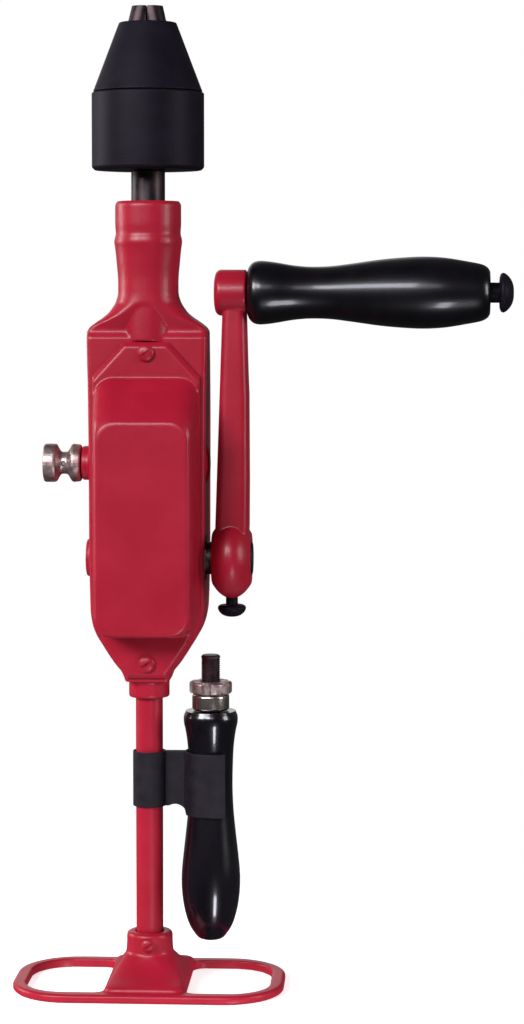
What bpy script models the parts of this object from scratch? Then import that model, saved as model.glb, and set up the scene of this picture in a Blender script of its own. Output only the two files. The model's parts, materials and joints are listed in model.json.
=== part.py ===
"""Two-speed breast drill with an enclosed gear case, standing on its breast plate.

Metres, +Z from the breast plate to the jaw tips, the crank on +X, the gear case's cover facing -Y.
The origin is the centre of the breast plate's underside.
"""

import math

import bmesh
import bpy
from mathutils import Matrix, Vector

# Fits shared by all pieces
CLEARANCE = 0.0003
OVERRUN = 0.002
OVERLAP = 0.001
ROUND_STEPS = 24
MEDIUM_STEPS = 18
SMALL_STEPS = 12
TURN_MERGE = 0.00001
OUTLINE_MERGE = 0.000001
SMOOTH_ANGLE = math.radians(32)
SCREW_CROWN_SHARE = 0.62
SCREW_SLOT_TURN = math.radians(35)

# Breast plate with its pedestal and tube socket
PLATE_LENGTH = 0.1084
PLATE_DEPTH = 0.0616
PLATE_THICKNESS = 0.0035
PLATE_CORNER = 0.0235
PLATE_RIM = 0.0054
PLATE_EDGE_ROUND = 0.0009
PLATE_EDGE_ANGLE = math.radians(60)
PLATE_CORNER_STEPS = 8
WINDOW_CORNER_STEPS = 6
PEDESTAL_HALF_WIDTH = 0.0158
SOCKET_RADIUS = 0.0092
SOCKET_RISE = 0.0187
SOCKET_LIP = 0.0016
SOCKET_FLOOR = 0.0030
PEDESTAL_FILLET_SHARES = ((0.0, 1.04, 1.00), (0.08, 0.98, 0.96), (0.20, 0.87, 0.68), (0.32, 0.77, 0.48),
                          (0.45, 0.67, 0.38), (0.58, 0.60, 0.33))
PEDESTAL_CORNER = 0.003

# Frame tube and its fasteners
TUBE_RADIUS = 0.0054
TUBE_WALL = 0.0014
TUBE_SHOWN = 0.0946
TUBE_IN_CASE = 0.0075
PIN_RADIUS = 0.0015
PIN_FRONT_COVER = 0.0012
SET_SCREW_RADIUS = 0.0014
SET_SCREW_HEAD_RADIUS = 0.0026
SET_SCREW_HEAD_HEIGHT = 0.0012
SET_SCREW_DROP = 0.0043
SLOT_WIDTH = 0.0008
SLOT_DEPTH = 0.0006

# Gear train: tooth counts, modules and widths
SMALL_TEETH = 20
LARGE_TEETH = 40
SPUR_MODULE = 0.00126
TOOTH_ADDENDUM = 0.0010
TOOTH_DEDENDUM = 0.0016
TOOTH_ROOT_SHARE = 0.62
TOOTH_TIP_SHARE = 0.24
GEAR_WIDTH = 0.0046
GEAR_GAP = 0.0026
GEAR_END_ROOM = 0.0015
PINION_ROOM = 0.00174
HALF_TOOTH_SHARE = 0.5
HUB_WALL = 0.0032
BEVEL_MODULE = 0.00125
BEVEL_GEAR_TEETH = 32
BEVEL_PINION_TEETH = 16
BEVEL_TIP_ANGLE = math.radians(1.5)
BEVEL_ROOT_ANGLE = math.radians(2.5)
BEVEL_GEAR_SCALES_SHARES = (0.76, 1.10)
BEVEL_PINION_SCALES_SHARES = (0.80, 1.00)
BEVEL_DISC = 0.0032
BEVEL_BACK_SHARE = 0.8
BEVEL_PIN_WALL = 0.0011

# Crank shaft, its bushes, key, spacer and washer
CRANK_SHAFT_RADIUS = 0.0065
BUSH_WALL = 0.0017
KEY_SIDE = 0.0028
KEY_DEPTH_SHARE = 0.5
SHAFT_END_PAST_ARM = 0.0006

# Hollow countershaft, draw rod, cross key and knob
COUNTER_SHAFT_RADIUS = 0.0050
ROD_RADIUS = 0.0023
DRAW_KEY_WIDTH = 0.0022
DRAW_KEY_REACH = 0.0069
DRAW_NOTCHES = 8
NOTCH_SLACK = 0.0002
KNOB_RADIUS = 0.00765
KNOB_NECK_RADIUS = 0.0044
KNOB_INNER_DISC = 0.0046
KNOB_NECK_LENGTH = 0.0045
KNOB_OUTER_DISC = 0.0058
KNOB_FLANK_IN_DISC = 0.0008
KNOB_FLANK_IN_NECK = 0.0009
KNOB_EDGE = 0.0006
KNOB_PIN_RADIUS = 0.0007
COUNTER_BOSS_RADIUS = 0.0068
COUNTER_BOSS_LENGTH = 0.0034
SMALL_BOSS_RADIUS = 0.0075
SMALL_BOSS_LENGTH = 0.0016
SMALL_BOSS_CROWN_SHARE = 0.6

# Spindle, its bushes, pinion hub and washer
SPINDLE_RADIUS = 0.0067
SPINDLE_SEAT_RADIUS = 0.0056
SPINDLE_BUSH_LENGTH = 0.0147
SPINDLE_LOW_BUSH_LENGTH = 0.0055
PINION_HUB_RADIUS = 0.0080
PINION_HUB_LENGTH = 0.0105
PINION_PIN_RADIUS = 0.0010
PINION_PIN_DROP_SHARE = 0.4
THRUST_WASHER = 0.0018
SPINDLE_SHOWN = 0.0122

# Gear case
CASE_RISE_TO_CRANK = 0.0556
CASE_WALL = 0.0026
CASE_SIDE_WALL = 0.0046
GEAR_ROOM = 0.0012
COVER_PLANE = 0.0100
NECK_RISE = 0.1038
NECK_RADIUS = 0.0120
NECK_ROOT_RADIUS = 0.0117
CASE_SOCKET_RADIUS = 0.0081
CASE_SOCKET_HEIGHT = 0.0080
CASE_RING_CORNER_STEPS = 5
CASE_FRONT_CORNER = 0.0018
CASE_REAR_CORNER = 0.0070
CASE_FRONT_STEP = 0.0014
CASE_FRONT_STEP_HEIGHT = 0.0022
GEAR_ROOM_STEPS = 16
# Sections of the case below the crank axis, as shares: drop from the axis, half width between the tube
# socket's and the case's, depth behind the axis and rear corner radius
LOWER_CASE_SHARES = ((1.00, 0.037, 0.36, 0.24), (0.925, 0.130, 0.42, 0.28), (0.855, 0.310, 0.50, 0.32),
                     (0.785, 0.468, 0.59, 0.34), (0.705, 0.632, 0.68, 0.36), (0.605, 0.823, 0.79, 0.38),
                     (0.520, 0.915, 0.865, 0.38), (0.420, 0.961, 0.935, 0.38), (0.250, 0.977, 0.985, 0.38),
                     (0.0, 0.992, 1.000, 0.38))
# The same above the counter axis: share of the neck's rise, half width, back depth and rear corner
UPPER_CASE_SHARES = ((0.0, 1.000, 1.000, 0.38), (0.160, 1.005, 0.965, 0.38), (0.301, 1.012, 0.850, 0.36),
                     (0.404, 1.022, 0.690, 0.34), (0.482, 1.028, 0.545, 0.30))
# The shoulder, where the front blends from flat to round: rise, half width between the neck's and the
# case's, and back depth
SHOULDER_SHARES = ((0.518, 0.979, 0.52), (0.537, 0.775, 0.50), (0.557, 0.513, 0.475), (0.577, 0.306, 0.455),
                   (0.596, 0.189, 0.435), (0.616, 0.090, 0.42))
# The round neck and its collar: rise, and radius as a share of the neck's
NECK_SHARES = ((0.655, 1.000), (0.693, 1.000), (0.770, 1.050), (0.826, 1.100), (0.845, 1.125),
               (0.861, 1.105), (0.876, 1.070), (0.913, 1.092), (0.985, 1.092), (1.0, 1.020))

# Front cover and its screws
COVER_THICKNESS = 0.0023
COVER_TIP_HALF = 0.0088
COVER_LOWER_TIP_HALF = 0.0080
COVER_SIDE_INSET = 0.0018
COVER_LOWER_BEND_WIDTH_SHARE = 0.80
COVER_LOWER_BEND_RISE_SHARE = 0.60
COVER_TIP_ABOVE_COUNTER = 0.0484
COVER_SHOULDER_ABOVE_COUNTER = 0.0349
COVER_SHOULDER_BELOW_CRANK = 0.0250
COVER_TIP_BELOW_CRANK = 0.0470
BULGE_DEPTH = 0.0300
BULGE_WALL = 0.0016
BULGE_SIDE_INSET = 0.0025
BULGE_TOP_ABOVE_COUNTER = 0.0350
BULGE_BOTTOM_BELOW_CRANK = 0.0295
BULGE_FACE_HALF = 0.0172
BULGE_FACE_TOP_DROP = 0.0175
BULGE_FACE_BOTTOM_RISE = 0.0022
BULGE_CORNER = 0.0075
# How far forward, how far narrowed and how far the top has fallen, from flange to front face
BULGE_SHARES = ((0.0, 0.0, 0.0), (0.12, 0.04, 0.05), (0.45, 0.14, 0.39), (0.80, 0.30, 0.76), (0.93, 0.52,
            0.915),
                (0.985, 0.80, 0.985), (1.0, 1.0, 1.04))
COVER_SCREW_TOP_ABOVE_COUNTER = 0.0440
COVER_SCREW_BOTTOM_BELOW_CRANK = 0.0410
COVER_SCREW_RADIUS = 0.0016
COVER_SCREW_LENGTH = 0.0049
COVER_SCREW_HEAD_RADIUS = 0.0034
COVER_SCREW_HEAD_HEIGHT = 0.0016

# Chuck
CHUCK_RADIUS = 0.0222
CHUCK_REAR_HEIGHT = 0.0305
CHUCK_CHAMFER = 0.0011
CHUCK_SEAM_CHAMFER = 0.0004
CHUCK_LENGTH = 0.0579
CHUCK_NOSE_RADIUS = 0.0118
CHUCK_NOSE_CHAMFER = 0.0010
CHUCK_SLEEVE_WALL = 0.0016
CHUCK_BODY_RELIEF = 0.0013
CHUCK_LAND_HEIGHT = 0.0044
CHUCK_BODY_WALL = 0.0012
CHUCK_GROOVE_RADIUS = 0.0105
CHUCK_SOCKET_DEPTH = 0.0160
CHUCK_THROAT_RADIUS = 0.0066
CHUCK_THROAT_FLOOR = 0.0215
NUT_BOTTOM_ABOVE_BASE = 0.0328
NUT_HEIGHT = 0.0056
NUT_WALL = 0.0016
JAW_COUNT = 3
JAW_RADIUS = 0.0042
JAW_TIP_OFFSET = 0.0021
JAW_ANGLE = math.radians(15)
JAW_SHOWN = 0.0064
JAW_LENGTH = 0.0300
JAW_TRAVEL = 0.0220
JAW_BITE_RADIUS = 0.00045
JAW_SIDE_GAP = 0.00025
FIRST_JAW_ANGLE = math.radians(90)

# Crank arm, clamp screw, grip and its axle
CRANK_RADIUS = 0.1055
ARM_OFFSET = 0.0022
ARM_BOSS_RADIUS = 0.0160
ARM_BOSS_WIDTH = 0.0156
ARM_TOP_BOSS_RADIUS = 0.0091
ARM_TOP_BOSS_WIDTH = 0.0128
ARM_TOP_BOSS_INSET = 0.0010
ARM_WIDTH_LOW = 0.0127
ARM_WIDTH_HIGH = 0.0090
ARM_DEPTH_LOW = 0.0190
ARM_DEPTH_HIGH = 0.0126
ARM_CORNER = 0.0030
ARM_SWELL = 0.0010
# Sections of the arm: height as a share of the crank's radius, and share of the swell on its outer side
ARM_RING_SHARES = ((-0.043, 0.0), (0.12, 0.8), (0.30, 1.0), (0.62, 1.0), (0.70, 0.7), (1.013, 0.0))
ARM_CORNER_STEPS = 4
ARM_INSET_SHARE = 0.8
ARM_BOSS_SHARES = ((1.0, 0.60), (0.99, 0.64), (0.72, 0.82), (0.38, 0.95), (0.0, 1.0), (-0.38, 0.95),
                   (-0.72, 0.82), (-0.99, 0.64), (-1.0, 0.60))
ARM_TOP_BOSS_SHARES = ((-0.72, 1.0), (-0.93, 0.86), (-1.0, 0.60))
CLAMP_SCREW_RADIUS = 0.0024
CLAMP_NECK = 0.0024
CLAMP_HEAD_RADIUS = 0.0056
CLAMP_HEAD_HEIGHT = 0.0050
CLAMP_HEAD_SHARES = ((0.04, 0.82), (0.16, 0.97), (0.34, 1.0), (0.60, 0.90), (0.84, 0.66), (0.97, 0.34),
                     (1.0, 0.0))
GRIP_LENGTH = 0.0956
GRIP_RADIUS = 0.0142
GRIP_PROFILE_SHARES = ((0.0, 0.62), (0.008, 0.74), (0.023, 0.84), (0.045, 0.885), (0.075, 0.880), (0.12,
            0.840),
                       (0.19, 0.760), (0.26, 0.722), (0.34, 0.736), (0.42, 0.800), (0.55, 0.922), (0.66,
            0.985),
                       (0.74, 1.000), (0.82, 0.965), (0.91, 0.866), (0.965, 0.790), (0.99, 0.700), (1.0,
            0.600))
AXLE_RADIUS = 0.0040
AXLE_NECK = 0.0038
AXLE_HEAD_RADIUS = 0.0078
AXLE_HEAD_LENGTH = 0.0056
AXLE_HEAD_SHARES = ((1.0, 0.0), (0.97, 0.34), (0.82, 0.64), (0.56, 0.88), (0.30, 1.0), (0.10, 0.96), (0.0,
            0.80))

# Stored side handle, its stud, ferrule, lock ring and the clip
HANDLE_AXIS_X = 0.0246
HANDLE_LENGTH = 0.0923
HANDLE_TOP_DROP = 0.0055
HANDLE_RADIUS = 0.0118
HANDLE_PROFILE_SHARES = ((1.0, 0.840), (0.975, 0.912), (0.945, 0.905), (0.92, 0.860), (0.87, 0.800), (0.81,
            0.762),
                         (0.68, 0.738), (0.57, 0.770), (0.47, 0.845), (0.38, 0.925), (0.30, 0.985), (0.23,
            0.990),
                         (0.16, 0.935), (0.10, 0.830), (0.06, 0.715), (0.03, 0.570), (0.008, 0.420), (0.0,
            0.250))
STUD_RADIUS = 0.0038
STUD_IN_HANDLE = 0.0450
STUD_PAST_RING = 0.0106
FERRULE_RADIUS = 0.0074
FERRULE_HEIGHT = 0.0064
FERRULE_WALL = 0.0018
LOCK_RING_RADIUS = 0.0085
LOCK_RING_HEIGHT = 0.0048
LOCK_RING_NOTCHES = 6
LOCK_RING_NOTCH_RADIUS = 0.0020
LOCK_RING_FIRST_NOTCH_SHARE = 0.36
CLIP_HEIGHT = 0.0254
CLIP_MIDDLE_SHARE = 0.686
CLIP_SHEET = 0.0009
CLIP_LIP = 0.0064
CLIP_RING_STEPS = 24
CLIP_ARM_STEPS = 8
CLIP_WEB_HALF = 0.0014
CLIP_RING_RISE = 0.0033
CLIP_ARCH_RISE = 0.0040
CLIP_ARCH_HALF = 0.0046

# Heights and places that follow
TUBE_BOTTOM_Z = SOCKET_FLOOR + CLEARANCE
SOCKET_TOP_Z = PLATE_THICKNESS + SOCKET_RISE
CASE_BOTTOM_Z = SOCKET_TOP_Z + TUBE_SHOWN
CRANK_Z = CASE_BOTTOM_Z + CASE_RISE_TO_CRANK
SMALL_PITCH_RADIUS = SPUR_MODULE * SMALL_TEETH / 2
LARGE_PITCH_RADIUS = SPUR_MODULE * LARGE_TEETH / 2
COUNTER_Z = CRANK_Z + SMALL_PITCH_RADIUS + LARGE_PITCH_RADIUS
BEVEL_GEAR_RADIUS = BEVEL_MODULE * BEVEL_GEAR_TEETH / 2
BEVEL_PINION_RADIUS = BEVEL_MODULE * BEVEL_PINION_TEETH / 2
NECK_TOP_Z = COUNTER_Z + NECK_RISE
CHUCK_BASE_Z = NECK_TOP_Z + SPINDLE_SHOWN
CHUCK_NOSE_Z = CHUCK_BASE_Z + CHUCK_LENGTH
JAW_TIP_Z = CHUCK_NOSE_Z + JAW_SHOWN
PINION_TIP_ANGLE = math.atan2(BEVEL_PINION_RADIUS, BEVEL_GEAR_RADIUS) + BEVEL_TIP_ANGLE
PINION_TIP_RADIUS = BEVEL_GEAR_RADIUS * math.tan(PINION_TIP_ANGLE)
SLOW_MIDDLE_X = PINION_TIP_RADIUS + PINION_ROOM + GEAR_WIDTH / 2
FAST_MIDDLE_X = SLOW_MIDDLE_X - GEAR_WIDTH - GEAR_GAP
GEARS_LEFT = FAST_MIDDLE_X - GEAR_WIDTH / 2
GEARS_RIGHT = SLOW_MIDDLE_X + GEAR_WIDTH / 2
INNER_WALL_X = GEARS_RIGHT + GEAR_END_ROOM
CASE_HALF_WIDTH = INNER_WALL_X + CASE_SIDE_WALL
COVER_HALF_WIDTH = CASE_HALF_WIDTH - COVER_SIDE_INSET
BULGE_HALF_WIDTH = CASE_HALF_WIDTH - BULGE_SIDE_INSET
BUSH_END_X = CASE_HALF_WIDTH - CASE_WALL / 2 - CLEARANCE
GEAR_CAVITY_RADIUS = LARGE_PITCH_RADIUS + TOOTH_ADDENDUM + GEAR_ROOM
CASE_BACK_DEPTH = GEAR_CAVITY_RADIUS + CASE_WALL
ARM_LEFT_X = CASE_HALF_WIDTH + ARM_OFFSET
ARM_RIGHT_X = ARM_LEFT_X + ARM_BOSS_WIDTH
ARM_MIDDLE_X = (ARM_LEFT_X + ARM_RIGHT_X) / 2
GRIP_Z = CRANK_Z + CRANK_RADIUS
TOP_BOSS_LEFT_X = ARM_LEFT_X + ARM_TOP_BOSS_INSET
TOP_BOSS_RIGHT_X = TOP_BOSS_LEFT_X + ARM_TOP_BOSS_WIDTH
GRIP_LEFT_X = TOP_BOSS_RIGHT_X + CLEARANCE
GRIP_RIGHT_X = GRIP_LEFT_X + GRIP_LENGTH
HANDLE_TOP_Z = CASE_BOTTOM_Z - HANDLE_TOP_DROP
HANDLE_BASE_Z = HANDLE_TOP_Z - HANDLE_LENGTH
CLIP_MIDDLE_Z = HANDLE_BASE_Z + CLIP_MIDDLE_SHARE * HANDLE_LENGTH
CLIP_LOW_Z = CLIP_MIDDLE_Z - CLIP_HEIGHT / 2
CLIP_HIGH_Z = CLIP_MIDDLE_Z + CLIP_HEIGHT / 2
FERRULE_TOP_Z = HANDLE_TOP_Z + CLEARANCE + FERRULE_HEIGHT
RING_TOP_Z = FERRULE_TOP_Z + CLEARANCE + LOCK_RING_HEIGHT

PARTS = "two_speed_breast_drill"
CUTTERS = "cutters"


def clear_scene():
    for thing in list(bpy.data.objects):
        bpy.data.objects.remove(thing, do_unlink=True)


def new_collection(name):
    collection = bpy.data.collections.new(name)
    bpy.context.scene.collection.children.link(collection)
    return collection


def look(name, colour, roughness, metallic):
    """A material with the finish of one kind of surface, made once."""
    found = bpy.data.materials.get(name)
    if found:
        return found
    made = bpy.data.materials.new(name)
    made.use_nodes = True
    shader = made.node_tree.nodes["Principled BSDF"]
    shader.inputs["Base Color"].default_value = (*colour, 1)
    shader.inputs["Roughness"].default_value = roughness
    shader.inputs["Metallic"].default_value = metallic
    return made


def red_enamel():
    return look("red_enamel", (0.38, 0.015, 0.035), 0.32, 0)


def black_chuck():
    return look("blackened_steel", (0.018, 0.015, 0.022), 0.45, 0.4)


def black_lacquer():
    return look("black_lacquer", (0.008, 0.006, 0.010), 0.12, 0)


def black_sheet():
    return look("black_sheet", (0.022, 0.017, 0.026), 0.55, 0.2)


def bright_nickel():
    return look("nickel", (0.42, 0.37, 0.34), 0.25, 1)


def plain_steel():
    return look("steel", (0.33, 0.32, 0.31), 0.35, 1)


def dark_steel():
    return look("dark_steel", (0.06, 0.04, 0.035), 0.35, 0.9)


def bush_bronze():
    return look("bronze", (0.48, 0.27, 0.10), 0.35, 1)


# Axes that pieces turn or slide on, each an empty


def axis_empty(name, place, parent=None):
    empty = bpy.data.objects.new(name, None)
    bpy.data.collections[PARTS].objects.link(empty)
    empty["place"] = tuple(place)
    hang(empty, parent)
    empty.location = place
    return empty


def hang(obj, parent):
    """Parents obj so that its own location stays a place in the drill's frame."""
    if parent is None:
        return
    obj.parent = parent
    obj.matrix_parent_inverse = Matrix.Translation(-Vector(parent["place"]))


def finish(obj, name, material, parent=None):
    """Names a finished piece, gives it its material and hangs it on its axis."""
    obj.name = name
    obj.data.name = name
    bpy.data.collections[PARTS].objects.link(obj)
    obj.data.materials.clear()
    obj.data.materials.append(material)
    hang(obj, parent)
    return obj


def as_cutter(obj, name):
    obj.name = name
    obj.data.name = name
    obj.hide_render = True
    obj.display_type = "WIRE"
    bpy.data.collections[CUTTERS].objects.link(obj)
    return obj


def boolean(target, other, operation):
    modifier = target.modifiers.new(other.name, "BOOLEAN")
    modifier.operation = operation
    modifier.object = other
    return target


def cut(target, *cutters):
    for cutter in cutters:
        boolean(target, cutter, "DIFFERENCE")
    return target


def join(target, *others):
    for other in others:
        boolean(target, other, "UNION")
    return target


# Ways of making a shape

TURN = {
    "Z": Matrix.Identity(4),
    "X": Matrix.Rotation(math.pi / 2, 4, "Y"),
    "-Y": Matrix.Rotation(math.pi / 2, 4, "X"),
}


def shade(mesh):
    mesh.shade_smooth()
    mesh.set_sharp_from_angle(angle=SMOOTH_ANGLE)


def placed(mesh, axis, place):
    obj = bpy.data.objects.new(mesh.name, mesh)
    obj.matrix_basis = Matrix.Translation(place) @ TURN[axis]
    return obj


def turned(profile, axis="Z", place=(0, 0, 0), steps=ROUND_STEPS):
    """A turned solid. The profile is (radius, height) points, from top to bottom on its outer side.

    It starts and ends on the axis, or else it is a closed loop that leaves a bore.
    """
    shape = bmesh.new()
    points = [shape.verts.new((radius, 0, height)) for radius, height in profile]
    for first, second in zip(points, points[1:]):
        shape.edges.new((first, second))
    if profile[0][0] > 0:
        shape.edges.new((points[-1], points[0]))
    mesh = bpy.data.meshes.new("turned")
    shape.to_mesh(mesh)
    shape.free()
    obj = placed(mesh, axis, place)
    screw = obj.modifiers.new("turn", "SCREW")
    screw.steps = steps
    screw.render_steps = steps
    screw.use_merge_vertices = True
    screw.merge_threshold = TURN_MERGE
    screw.use_smooth_shade = True
    return obj


def rod(radius, low, high, axis="Z", place=(0, 0, 0), steps=ROUND_STEPS):
    return turned([(0, high), (radius, high), (radius, low), (0, low)], axis, place, steps)


def hole(radius, low, high, axis="Z", place=(0, 0, 0), steps=ROUND_STEPS, turn_share=0.5):
    """A rod that cuts a hole, turned by a share of a facet so that its edges miss those of the piece."""
    cutter = rod(radius, low, high, axis, place, steps)
    cutter.matrix_basis = cutter.matrix_basis @ Matrix.Rotation(turn_share * math.tau / steps, 4, "Z")
    return cutter


def tube(outer, inner, low, high, axis="Z", place=(0, 0, 0), steps=ROUND_STEPS):
    return turned([(outer, high), (outer, low), (inner, low), (inner, high)], axis, place, steps)


def bevelled_rod(radius, low, high, edge, axis="Z", place=(0, 0, 0), steps=ROUND_STEPS):
    profile = [(0, high), (radius - edge, high), (radius, high - edge), (radius, low + edge),
               (radius - edge, low), (0, low)]
    return turned(profile, axis, place, steps)


def flat_outline(outlines, thickness, axis="Z", place=(0, 0, 0)):
    """A flat piece, centred on its plane: the first outline is its edge and the others are holes."""
    curve = bpy.data.curves.new("outline", "CURVE")
    curve.dimensions = "2D"
    curve.fill_mode = "BOTH"
    curve.extrude = thickness / 2
    for outline in outlines:
        spline = curve.splines.new("POLY")
        spline.points.add(len(outline) - 1)
        for point, (x, y) in zip(spline.points, outline):
            point.co = (x, y, 0, 1)
        spline.use_cyclic_u = True
    source = bpy.data.objects.new("outline", curve)
    bpy.context.scene.collection.objects.link(source)
    bpy.context.view_layer.update()
    evaluated = source.evaluated_get(bpy.context.evaluated_depsgraph_get())
    mesh = bpy.data.meshes.new_from_object(evaluated)
    bpy.data.objects.remove(source)
    shape = bmesh.new()
    shape.from_mesh(mesh)
    bmesh.ops.remove_doubles(shape, verts=shape.verts, dist=OUTLINE_MERGE)
    bmesh.ops.recalc_face_normals(shape, faces=shape.faces)
    shape.to_mesh(mesh)
    shape.free()
    shade(mesh)
    return placed(mesh, axis, place)


def lofted(rings, axis="Z", place=(0, 0, 0)):
    """A solid through rings of equally many points, for a shape between unlike sections."""
    shape = bmesh.new()
    rows = [[shape.verts.new(point) for point in ring] for ring in rings]
    count = len(rows[0])
    for low, high in zip(rows, rows[1:]):
        for here in range(count):
            after = (here + 1) % count
            shape.faces.new((low[here], low[after], high[after], high[here]))
    shape.faces.new(rows[0][::-1])
    shape.faces.new(rows[-1])
    bmesh.ops.recalc_face_normals(shape, faces=shape.faces)
    mesh = bpy.data.meshes.new("loft")
    shape.to_mesh(mesh)
    shape.free()
    shade(mesh)
    return placed(mesh, axis, place)


def block(size, centre):
    shape = bmesh.new()
    bmesh.ops.create_cube(shape, size=1, matrix=Matrix.Diagonal((*size, 1)))
    mesh = bpy.data.meshes.new("block")
    shape.to_mesh(mesh)
    shape.free()
    return placed(mesh, "Z", centre)


def rounded_rectangle(left, right, low, high, corner, steps=CASE_RING_CORNER_STEPS, low_corner=None):
    """Points round a rectangle with rounded corners, anticlockwise from the right side."""
    corner = min(corner, (right - left) / 2, (high - low) / 2)
    lower = corner if low_corner is None else low_corner
    centres = ((right - corner, high - corner, corner), (left + corner, high - corner, corner),
               (left + lower, low + lower, lower), (right - lower, low + lower, lower))
    points = []
    for quarter, (x, y, corner) in enumerate(centres):
        for step in range(steps + 1):
            angle = (quarter + step / steps) * math.pi / 2
            points.append((x + corner * math.cos(angle), y + corner * math.sin(angle)))
    return points


def arc(centre, radius, start, end, steps):
    """Points along an arc, with angles in radians, both ends among them."""
    return [
        (centre[0] + radius * math.cos(start + (end - start) * step / steps),
         centre[1] + radius * math.sin(start + (end - start) * step / steps))
        for step in range(steps + 1)
    ]


def toothed_outline(teeth, root_radius, tip_radius, phase=0.0):
    """Points round a gear. The phase is in tooth pitches."""
    pitch = math.tau / teeth
    corners = ((-TOOTH_ROOT_SHARE / 2, root_radius), (-TOOTH_TIP_SHARE / 2, tip_radius),
               (TOOTH_TIP_SHARE / 2, tip_radius), (TOOTH_ROOT_SHARE / 2, root_radius))
    return [
        (radius * math.cos((tooth + phase + share) * pitch),
         radius * math.sin((tooth + phase + share) * pitch))
        for tooth in range(teeth)
        for share, radius in corners
    ]


def bore_outline(radius, steps=ROUND_STEPS):
    return arc((0, 0), radius, 0, math.tau * (1 - 1 / steps), steps - 1)


def keyed_bore(radius, key_width, key_reach):
    """A round bore with one keyway on the side that local +X points to."""
    half = math.asin(key_width / 2 / radius)
    points = arc((0, 0), radius, half, math.tau - half, ROUND_STEPS)
    return points + [(key_reach, -key_width / 2), (key_reach, key_width / 2)]


def notched_bore(radius, notch_width, notch_reach, notches):
    """A round bore with even notches, the first on the side that local +X points to."""
    half = math.asin(notch_width / 2 / radius)
    pitch = math.tau / notches
    points = []
    for notch in range(notches):
        middle = notch * pitch
        for along, side in ((notch_reach, -1), (notch_reach, 1)):
            across = side * notch_width / 2
            points.append((along * math.cos(middle) - across * math.sin(middle),
                           along * math.sin(middle) + across * math.cos(middle)))
        points += arc((0, 0), radius, middle + half, middle + pitch - half, 2)
    return points


# Breast plate, frame tube and their fasteners


def make_breast_plate():
    half_length = PLATE_LENGTH / 2
    half_depth = PLATE_DEPTH / 2
    edge = rounded_rectangle(-half_length, half_length, -half_depth, half_depth, PLATE_CORNER,
                             PLATE_CORNER_STEPS)
    window_corner = PLATE_CORNER - PLATE_RIM
    windows = []
    for side in (-1, 1):
        near, far = sorted((side * PEDESTAL_HALF_WIDTH, side * (half_length - PLATE_RIM)))
        depth = half_depth - PLATE_RIM
        window = rounded_rectangle(near, far, -depth, depth, window_corner, WINDOW_CORNER_STEPS)
        windows.append(window)
    plate = flat_outline([edge, *windows], PLATE_THICKNESS, place=(0, 0, PLATE_THICKNESS / 2))
    rounding = plate.modifiers.new("edge", "BEVEL")
    rounding.width = PLATE_EDGE_ROUND
    rounding.segments = 1
    rounding.limit_method = "ANGLE"
    rounding.angle_limit = PLATE_EDGE_ANGLE
    half_pedestal = half_depth - PLATE_RIM / 2
    rings = []
    for rise, wide, deep in PEDESTAL_FILLET_SHARES:
        height = PLATE_THICKNESS / 2 + rise * SOCKET_RISE
        x = max(wide * PEDESTAL_HALF_WIDTH, SOCKET_RADIUS)
        y = max(deep * half_pedestal, SOCKET_RADIUS)
        corner = min(PEDESTAL_CORNER + rise * SOCKET_RADIUS, SOCKET_RADIUS)
        rings.append([(a, b, height) for a, b in rounded_rectangle(-x, x, -y, y, corner)])
    for radius, height in ((SOCKET_RADIUS, SOCKET_TOP_Z - SOCKET_LIP), (SOCKET_RADIUS - SOCKET_LIP,
            SOCKET_TOP_Z)):
        rings.append([(a, b, height) for a, b in rounded_rectangle(-radius, radius, -radius, radius,
                                                                   radius)])
    pedestal = as_cutter(lofted(rings), "pedestal_form")
    bore = as_cutter(hole(TUBE_RADIUS + CLEARANCE, SOCKET_FLOOR, SOCKET_TOP_Z + OVERRUN),
                     "plate_socket_bore")
    screw_hole = as_cutter(
        hole(SET_SCREW_RADIUS + CLEARANCE, 0, SOCKET_RADIUS + OVERRUN, "-Y", (0, 0,
            SOCKET_TOP_Z - SET_SCREW_DROP),
            SMALL_STEPS), "plate_screw_hole")
    cut(join(plate, pedestal), bore, screw_hole)
    finish(plate, "breast_plate", red_enamel())


def screw_slot(name, head_radius, top, height):
    """A driver slot across the head of a screw that points along -Y."""
    size = (head_radius * 2 + OVERRUN, SLOT_DEPTH * 2, SLOT_WIDTH)
    slot = as_cutter(block(size, (0, -top, height)), name)
    slot.rotation_euler = (0, SCREW_SLOT_TURN, 0)
    return slot


def make_plate_screw():
    height = SOCKET_TOP_Z - SET_SCREW_DROP
    seat = SOCKET_RADIUS + CLEARANCE
    top = seat + SET_SCREW_HEAD_HEIGHT
    profile = [(0, top), (SET_SCREW_HEAD_RADIUS * SCREW_CROWN_SHARE, top), (SET_SCREW_HEAD_RADIUS,
            seat + SLOT_DEPTH),
               (SET_SCREW_HEAD_RADIUS, seat), (SET_SCREW_RADIUS, seat),
               (SET_SCREW_RADIUS, TUBE_RADIUS - TUBE_WALL), (0, TUBE_RADIUS - TUBE_WALL)]
    screw = turned(profile, "-Y", (0, 0, height), SMALL_STEPS)
    cut(screw, screw_slot("plate_screw_slot", SET_SCREW_HEAD_RADIUS, top, height))
    finish(screw, "plate_screw", red_enamel())


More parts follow.
